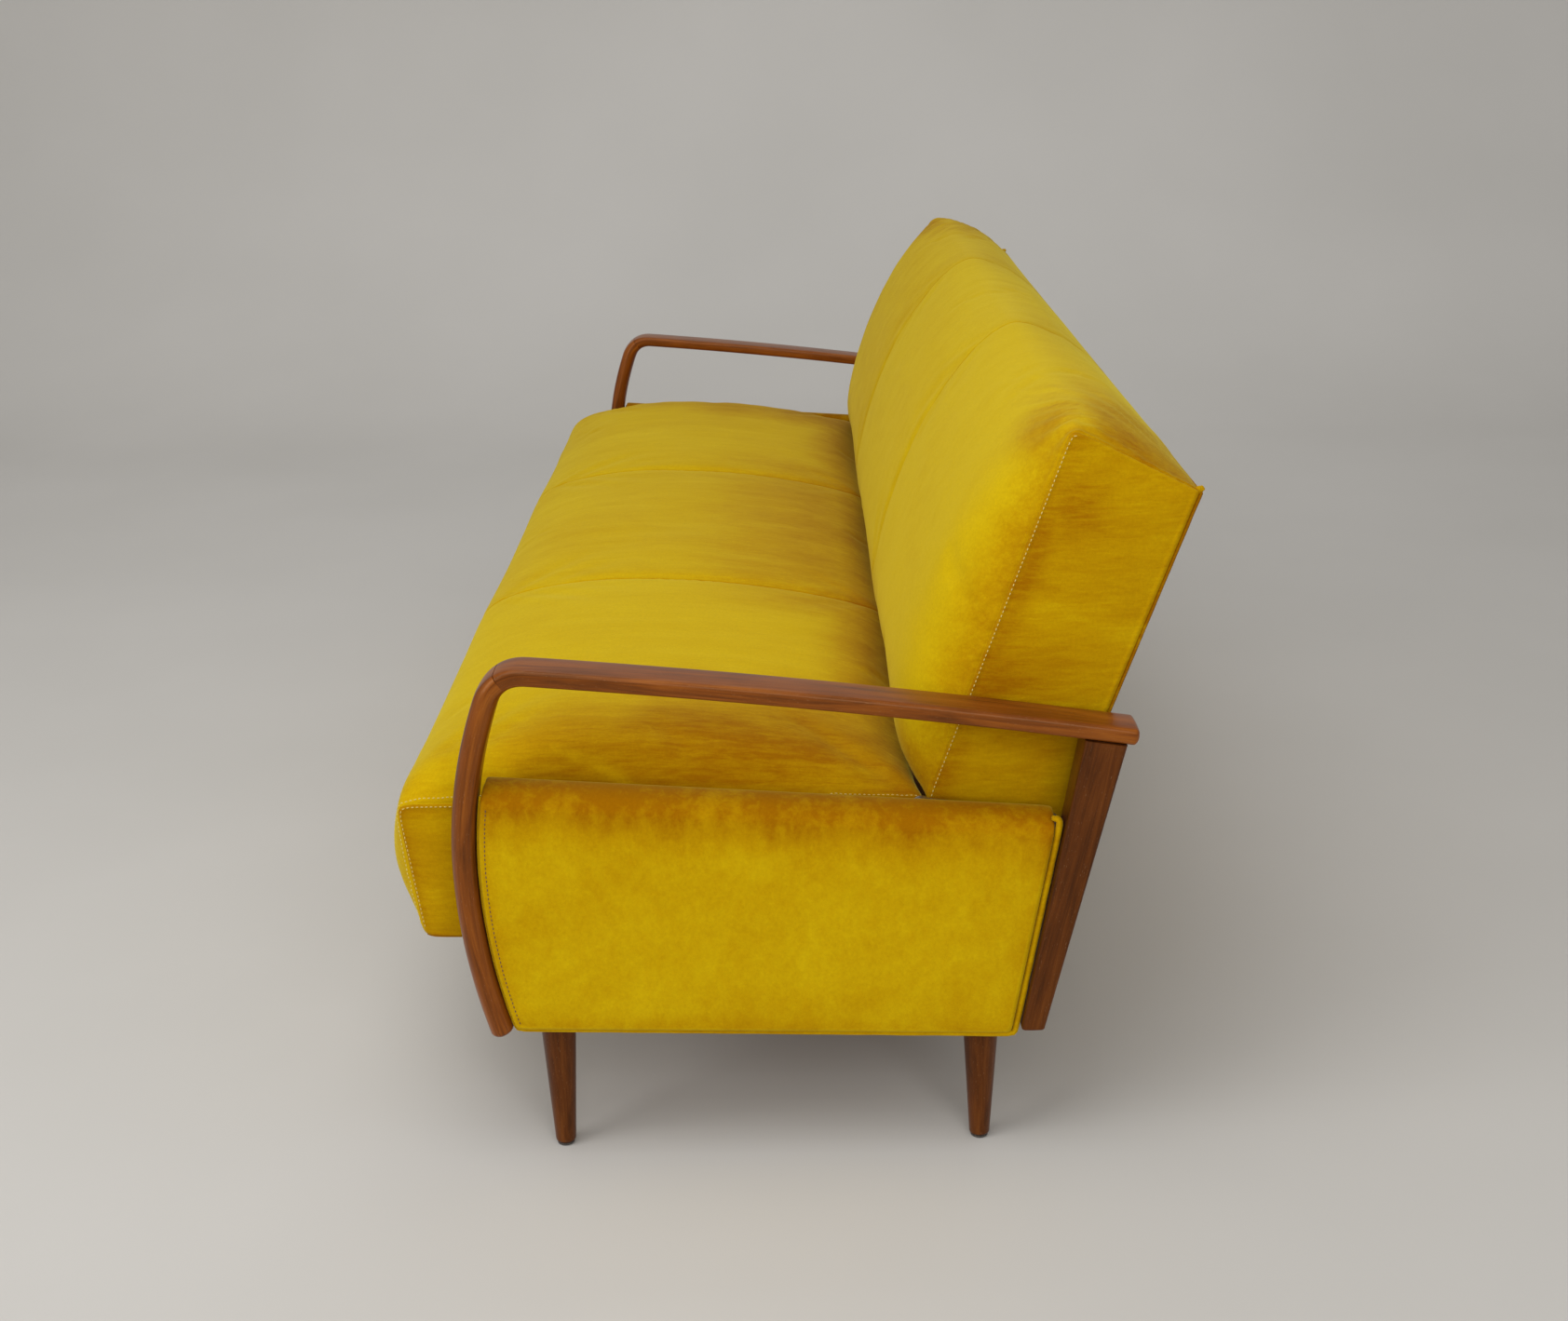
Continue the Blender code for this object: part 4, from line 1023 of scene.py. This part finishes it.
def make_tuck(name, x, up):
    """The small folded knot of cloth at the back's upper rear corner."""
    y, z = back_point(up + 0.002, BACK_DEPTH + 0.0005)
    bm = bmesh.new()
    bmesh.ops.create_icosphere(bm, subdivisions=4, radius=1.0)
    for vertex in bm.verts:
        turn = math.atan2(vertex.co.z, vertex.co.y)
        fold = 1 + 0.10 * math.sin(3 * turn + 2.2 * vertex.co.x) + 0.05 * math.sin(7 * turn + 1.0)
        size = Vector((0.0042, 0.0044, 0.0038)) * fold
        vertex.co = Vector((x, y, z)) + Vector(a * b for a, b in zip(vertex.co, size))
    mesh = bpy.data.meshes.new(name)
    bm.to_mesh(mesh)
    bm.free()
    nap_and_shade = np.full(len(mesh.vertices), 0.45, np.float32)
    mesh.attributes.new("nap_and_shade", "FLOAT", "POINT").data.foreach_set("value", nap_and_shade)
    mesh.shade_smooth()
    mesh.materials.append(VELVET_EDGE)
    tuck = bpy.data.objects.new(name, mesh)
    bpy.context.collection.objects.link(tuck)
    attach(tuck, "back")


# Side panels ------------------------------------------------------------------------------------
def pad_lines(side):
    form = pad_form(side)
    middle, half = 0.5 * (PAD_OUTER + PAD_INNER), 0.5 * (PAD_OUTER - PAD_INNER)
    turns = (-90, -84, -76, -66, -55, -42, -28, -14, 0, 14, 28, 40, 48, 54, 60, 66, 72, 78, 84, 90)
    stations = np.array([middle + half * math.sin(math.radians(a)) for a in turns])
    xs = stations if side > 0 else -stations[::-1]
    b = lines(0.0, form.lengths[0], 0.0055, (0.0, form.lengths[0])) / form.lengths[0]
    c = lines(0.0, form.lengths[1], 0.0055, (0.0, form.lengths[1])) / form.lengths[1]
    return form, xs, b, c


def fold_lip(s, side, last_row):
    """Step the pad's inner half back behind the side board, under the lip that wraps over it."""
    depth = np.abs(s.x)
    inner = depth < PAD_WALL
    below = inner & (s.c < 1 - 1e-6)
    ledge = panel_top_z(s.y) - PAD_LEDGE + 0.0003
    low = base_z(s.y)
    share = np.clip((depth - PAD_INNER) / (PAD_WALL - PAD_INNER), 0, 1)
    s.points[:, 2] = np.where(below, low + (ledge - low) * s.c / last_row, s.points[:, 2])
    s.points[:, 0] = np.where(below, side * (PAD_WALL + 0.0004 * share), s.points[:, 0])
    rim = inner & ~below
    s.points[:, 2] = np.where(rim, np.maximum(s.points[:, 2], ledge + 0.0002), s.points[:, 2])


def make_pad(side_name, side):
    form, xs, b, c = pad_lines(side)
    s = Surface(form, xs, b, c)
    fold_lip(s, side, c[-2])
    rng = np.random.default_rng(31 if side > 0 else 37)
    outer = (np.abs(s.x) > PAD_OUTER - 1e-4) * 1.0
    front = s.b * form.lengths[0]
    height = outer * (-0.0009 * bump(front - 0.0050, 0.0014) - 0.0004 * bump(front - 0.0050, 0.006))
    height += outer * 0.0004 * ripple(rng, s.y, 0.14) * ripple(rng, s.z, 0.11)
    height += outer * 0.00035 * bump(front - 0.010, 0.012) * ripple(rng, s.z, 0.020)
    # Painted shade: a darker band along the rounded top, a darker tone over the whole pad, and a darker rim inside
    # the outer face's border.
    below_top = panel_top_z(s.y) - s.z
    edge_wave = 0.006 * ripple(rng, s.y, 0.10) + 0.004 * ripple(rng, s.y, 0.03)
    blotch = 0.10 * ripple(rng, s.y, 0.05) * ripple(rng, s.z, 0.04)
    shade_band = smooth(0.085, -0.010, below_top + 1.3 * edge_wave) ** 1.3
    nap_and_shade = 0.27 + (0.66 + blotch) * shade_band
    nap_and_shade += 0.12 * bump(s.inward, 0.010) * outer * smooth(0.030, 0.060, below_top)
    pad = s.finished("side_cushion_" + side_name, VELVET_SIDE, height, nap_and_shade)
    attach(pad, "base")
    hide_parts("side_pad_" + side_name)
    section = pad_section(PAD_FRONT_EDGE + 0.0020, PAD_EDGE, 0.0, 0.0)
    path = inset_path(section.side(0, np.linspace(0.01, 0.93, 90)), 0.0046)
    row = settle(surface_tree(pad), [(side * PAD_OUTER, y, z) for y, z in path], Vector((-side, 0, 0)))
    stitches("side_stitches_" + side_name, [row], THREAD_DARK, "base", 0.0034)


def make_piping(side_name, side):
    """The cloth welt round the pad, fullest up the rear and a mere fold beside the front post."""
    section = pad_section(0.0026, PIPING_EDGE, 0.0046, -0.0020)
    share = np.linspace(0, 1, 70)
    rear = np.concatenate((section.side(1, np.linspace(0.984, 0.998, 5)), section.side(2, share)))
    bottom, front = section.side(3, share[1:]), section.side(0, share[1:-2])
    path = np.concatenate((rear, bottom, front))
    taper = np.exp(-30 * np.linspace(0, 1, len(rear)))
    radius = np.concatenate((0.0036 - 0.0014 * taper, np.linspace(0.0034, 0.0020, len(bottom)),
                             np.linspace(0.0018, 0.0012, len(front))))
    rng = np.random.default_rng(41)
    radius = radius * (1 + 0.05 * ripple(rng, np.arange(len(path)) * 0.01, 0.09))
    ahead = np.gradient(path, axis=0)
    ahead /= np.linalg.norm(ahead, axis=1, keepdims=True)
    sides = 12
    x_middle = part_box("side_piping_left")[0].x * 0.5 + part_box("side_piping_left")[1].x * 0.5
    verts = []
    for (y, z), (dy, dz), r in zip(path, ahead, radius):
        for k in range(sides):
            turn = 2 * math.pi * k / sides
            across, out = r * math.cos(turn), 1.35 * r * math.sin(turn)
            verts.append((side * (x_middle + out), y - dz * across, z + dy * across))
    faces = tube_faces(np.arange(len(verts)).reshape(-1, sides))
    piping = mesh_object("side_welt_" + side_name, verts, faces, VELVET_EDGE, np.full(len(verts), 0.44))
    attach(piping, "base")
    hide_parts("side_piping_" + side_name)


# Woodwork ---------------------------------------------------------------------------------------
def rounded_section(half_x, half_a, radius, crown, corner_steps=6, flat_steps=5):
    """Points of a bar's section: rounded corners and slightly crowned faces."""
    radius = min(radius, 0.98 * half_x, 0.98 * half_a)
    points = []
    for quarter in range(4):
        turn = quarter * math.pi / 2
        sx, sa = ((1, 1), (-1, 1), (-1, -1), (1, -1))[quarter]
        for k in range(corner_steps + 1):
            angle = turn + k / corner_steps * math.pi / 2
            points.append((sx * (half_x - radius) + radius * math.cos(angle),
                           sa * (half_a - radius) + radius * math.sin(angle)))
        nx, na = ((-1, 1), (-1, -1), (1, -1), (1, 1))[quarter]
        end_angle = turn + math.pi / 2
        start = points[-1]
        stop = (nx * (half_x - radius) + radius * math.cos(end_angle),
                na * (half_a - radius) + radius * math.sin(end_angle))
        for k in range(1, flat_steps):
            t = k / flat_steps
            points.append((start[0] + (stop[0] - start[0]) * t, start[1] + (stop[1] - start[1]) * t))
    crowned = []
    for px, pa in points:
        crowned.append((px + math.copysign(crown, px) * (1 - (pa / half_a) ** 2) * (abs(px) / half_x) ** 8,
                        pa + math.copysign(crown, pa) * (1 - (px / half_x) ** 2) * (abs(pa) / half_a) ** 8))
    return crowned


def bar(name, centres, halves, radii, xs, material, nodes, round_ends, crown, across=None):
    """A wooden bar along a (y, z) path: one rounded section at each point, its ends eased."""
    centres = [Vector(c) for c in centres]
    arc = [0.0]
    for first, second in zip(centres, centres[1:]):
        arc.append(arc[-1] + (second - first).length)
    middle_x, half_x = (xs[0] + xs[1]) / 2, abs(xs[1] - xs[0]) / 2 - crown
    verts, grain = [], []
    for i, centre in enumerate(centres):
        ahead = (centres[min(i + 1, len(centres) - 1)] - centres[max(i - 1, 0)]).normalized()
        side_on = Vector((-ahead.y, ahead.x)) if across is None else across(i / (len(centres) - 1))
        inset = 0.0
        for distance, end in ((arc[i], round_ends[0]), (arc[-1] - arc[i], round_ends[1])):
            if distance < end:
                inset = max(inset, end - math.sqrt(max(0.0, end ** 2 - (end - distance) ** 2)))
        for px, pa in rounded_section(half_x - inset, halves[i] - crown - inset, radii[i], crown):
            place = centre + side_on * pa
            verts.append((middle_x + px, place.x, place.y))
            grain.append((arc[i] + xs[0], px, pa))
    faces = tube_faces(np.arange(len(verts)).reshape(len(centres), -1))
    obj = mesh_object(name, verts, faces, material, grain=grain)
    obj.data.set_sharp_from_angle(angle=math.radians(50))
    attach(obj, "base")
    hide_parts(*nodes)


def spaced_path(point_at, start, end, spacing, end_room=(0.0, 0.0)):
    """Points of a curve about spacing apart, closer within end_room of its ends."""
    shares = np.linspace(start, end, 400)
    points = np.array([point_at(s) for s in shares])
    arc = arc_lengths(points)
    at = list(np.arange(end_room[0], arc[-1] - end_room[1], spacing)) + [arc[-1] - end_room[1]]
    steps = [1 - math.cos(math.radians(a)) for a in (0, 20, 40, 60, 75)]
    at += [end_room[0] * step for step in steps if end_room[0] > 0]
    at += [arc[-1] - end_room[1] * step for step in steps if end_room[1] > 0]
    at = np.unique(np.round(at, 6))
    return np.stack([np.interp(at, arc, points[:, k]) for k in (0, 1)], 1)


def make_arm(side_name, side):
    """Arm rail and front post, cut from one bent form and joined in the middle of the bend."""
    length = (Vector(ARM_CORNER) - Vector(RAIL_REAR)).length
    bend_start = 1 - BEND_LENGTH / length
    start, end, corner = rail_centre(bend_start), post_centre(ARM_CORNER[1] - BEND_LENGTH), Vector(ARM_CORNER)

    def bend(t):
        return start * (1 - t) ** 2 + corner * 2 * t * (1 - t) + end * t ** 2

    easing = 0.005
    straight = spaced_path(rail_centre, 0.0, bend_start, 0.012, (easing, 0.0))
    first_half = [bend(t) for t in np.linspace(0.08, 0.4985, 9)]
    rail = [tuple(p) for p in straight] + [tuple(p) for p in first_half]
    swell = [RAIL_HALF] * len(straight) + list(np.linspace(RAIL_HALF, 0.0105, 10)[1:])
    radii = [0.0033] * len(straight) + list(np.linspace(0.0033, 0.0060, 10)[1:])
    xs = (side * ARM_INNER, side * ARM_OUTER)
    bar("armrest_" + side_name, rail, swell, radii, xs, ARM_WOOD, ["arm_rail_" + side_name],
        (easing, 0.0), 0.0009)
    second_half = [bend(t) for t in np.linspace(0.5015, 0.93, 9)]
    top_z = ARM_CORNER[1] - BEND_LENGTH
    down = spaced_path(lambda t: post_centre(top_z + t * (POST_FOOT_Z + 0.001 - top_z)), 0.0, 1.0, 0.010,
                       (0.0, easing))
    post = [tuple(p) for p in second_half] + [tuple(p) for p in down]
    swell = list(np.linspace(0.0105, POST_HALF, 9)) + [POST_HALF] * len(down)
    radii = list(np.linspace(0.0060, 0.0100, 9)) + [0.0100] * len(down)
    bar("arm_post_" + side_name, post, swell, radii, xs, ARM_WOOD, ["front_post_" + side_name],
        (0.0, easing), 0.0009)

    def under_rail(y):
        return rail_centre((y - RAIL_REAR[0]) / (ARM_CORNER[0] - RAIL_REAR[0])).y - RAIL_HALF - 0.0006

    low = Vector((sum(REAR_POST_BOTTOM) / 2, BASE_Z))
    high = Vector((sum(REAR_POST_TOP) / 2, 0.0))
    high.y = under_rail(high.x)
    fall = under_rail(high.x + 0.5) - under_rail(high.x - 0.5)
    shares = np.unique(np.concatenate((np.linspace(0.012, 1, 30), (0.0, 0.001, 0.003, 0.006))))
    centres = [low + (high - low) * s for s in shares]
    halves = [0.012 + (0.021 - 0.012) * s for s in shares]
    bar("rear_upright_" + side_name, centres, halves, [0.0030] * len(shares),
        (side * REAR_POST_X[0], side * REAR_POST_X[1]), LEG_WOOD, ["rear_post_" + side_name],
        (0.002, 0.0), 0.0004, lambda t: Vector((1.0, fall * t)))


def make_leg(name):
    """A tapered round leg under the base."""
    low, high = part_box("leg_" + name)
    x, y = (low.x + high.x) / 2, (low.y + high.y) / 2
    edges = (0.0, 0.002, 0.006, 0.012, 0.02, 0.993, 1.0)
    shares = np.unique(np.concatenate((np.linspace(0.03, 0.985, 22), edges)))
    verts, grain, sides = [], [], 44
    top = base_z(y) - 0.0006
    for share in shares:
        z = low.z + (top - low.z) * share
        radius = LEG_RADII[1] + (LEG_RADII[0] - LEG_RADII[1]) * share
        radius -= 0.0022 * float(bump(share, 0.008)) + 0.0006 * float(bump(1 - share, 0.005))
        for k in range(sides):
            turn = 2 * math.pi * k / sides
            dx, dy = radius * math.cos(turn), radius * math.sin(turn)
            verts.append((x + dx, y + dy, z + share * BASE_SLOPE * dy))
            grain.append((z + 7 * x, dx, dy))
    faces = tube_faces(np.arange(len(verts)).reshape(len(shares), sides))
    leg = mesh_object("turned_leg_" + name, verts, faces, LEG_WOOD, grain=grain)
    leg.data.set_sharp_from_angle(angle=math.radians(50))
    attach(leg, "base")
    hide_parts("leg_" + name)


# Stage ------------------------------------------------------------------------------------------
CAMERA_PLACE = (2.6923, 0.0178, 1.1654)
CAMERA_DOWN, CAMERA_TURN, CAMERA_ROLL = (math.radians(a) for a in (19.311, 0.447, -1.32))
CAMERA_LENS = 44.31


def make_camera():
    data = bpy.data.cameras.new("camera")
    data.lens, data.sensor_width = CAMERA_LENS, 36.0
    camera = bpy.data.objects.new("camera", data)
    bpy.context.collection.objects.link(camera)
    forward = Vector((-math.cos(CAMERA_DOWN) * math.cos(CAMERA_TURN),
                      -math.cos(CAMERA_DOWN) * math.sin(CAMERA_TURN), -math.sin(CAMERA_DOWN)))
    right = forward.cross(Vector((0, 0, 1))).normalized()
    up = right.cross(forward)
    tilt = Matrix.Rotation(-CAMERA_ROLL, 3, forward)
    right, up = tilt @ right, tilt @ up
    turned = Matrix((right, up, -forward)).transposed().to_4x4()
    camera.matrix_world = Matrix.Translation(CAMERA_PLACE) @ turned
    bpy.context.scene.camera = camera


def area_light(name, place, target, size, power, colour=(1.0, 1.0, 1.0)):
    data = bpy.data.lights.new(name, "AREA")
    data.shape, data.size, data.energy, data.color = "SQUARE", size, power, colour
    light = bpy.data.objects.new(name, data)
    bpy.context.collection.objects.link(light)
    light.location = place
    light.rotation_euler = (Vector(target) - Vector(place)).to_track_quat("-Z", "Y").to_euler()


def make_stage():
    floor_material = Nodes("floor_pale")
    place = floor_material.add("TexCoord").outputs["Object"]
    tone = floor_material.noise(place, 1.3, 3.0)
    shade = floor_material.ramp(tone, ((0.3, (0.56, 0.548, 0.525)), (0.7, (0.59, 0.577, 0.555))))
    floor_material.finish(shade, Specular_IOR_Level=0.2)
    floor_material.shader.inputs["Roughness"].default_value = 0.75
    curve = [(-2.4 - 1.6 * math.sin(a), 1.6 - 1.6 * math.cos(a)) for a in np.linspace(0, math.pi / 2, 24)]
    profile = [(20.0, 0.0)] + curve + [(-4.0, 9.0)]
    verts = [(x, y, z) for x, z in profile for y in (-25.0, 25.0)]
    faces = grid_faces(np.arange(len(verts)).reshape(-1, 2))
    floor = mesh_object("floor", verts, faces, floor_material.material)
    if floor.data.polygons[0].normal.z < 0:
        floor.data.flip_normals()
    world = bpy.data.worlds.new("studio")
    world.use_nodes = True
    background = world.node_tree.nodes["Background"]
    background.inputs["Color"].default_value = (0.95, 0.93, 0.90, 1.0)
    background.inputs["Strength"].default_value = 0.42
    bpy.context.scene.world = world
    area_light("overhead", (1.6, -0.8, 3.3), (0.5, 0, 0.3), 2.5, 45)
    area_light("window", (2.6, -3.4, 2.0), (0, 0, 0.4), 2.2, 46, (1.0, 0.98, 0.95))
    area_light("fill", (4.4, 0.8, 2.0), (0, 0, 0.4), 2.4, 56, (1.0, 0.98, 0.96))
    area_light("backdrop_wash", (-2.5, 0.0, 5.0), (-4.4, 0.0, 1.2), 2.6, 40)
    bpy.context.scene.view_settings.view_transform = "Standard"


def main():
    make_camera()
    make_stage()
    finish_frame_nodes()

    lattices = {"seat": sim_lines(SEAT), "back": sim_lines(BACK)}
    for name, form in (("seat", SEAT), ("back", BACK)):
        xs, *b_c = lattices[name]
        prepare_puff(name, form, xs, b_c, hold_cushion, COVER_GIVE, COVER_PRESSURE, COVER_GROWTH)
    moved = run_puffs()
    seat = make_seat(lambda *fine: read_shift(moved["seat"], lattices["seat"], fine))
    back = make_back(lambda *fine: read_shift(moved["back"], lattices["back"], fine))
    end_stitches(seat, back)
    make_rear_cover()
    for side_name, side in SIDES:
        make_pad(side_name, side)
        make_piping(side_name, side)
        make_arm(side_name, side)
        for place in ("front_", "rear_"):
            make_leg(place + side_name)


main()
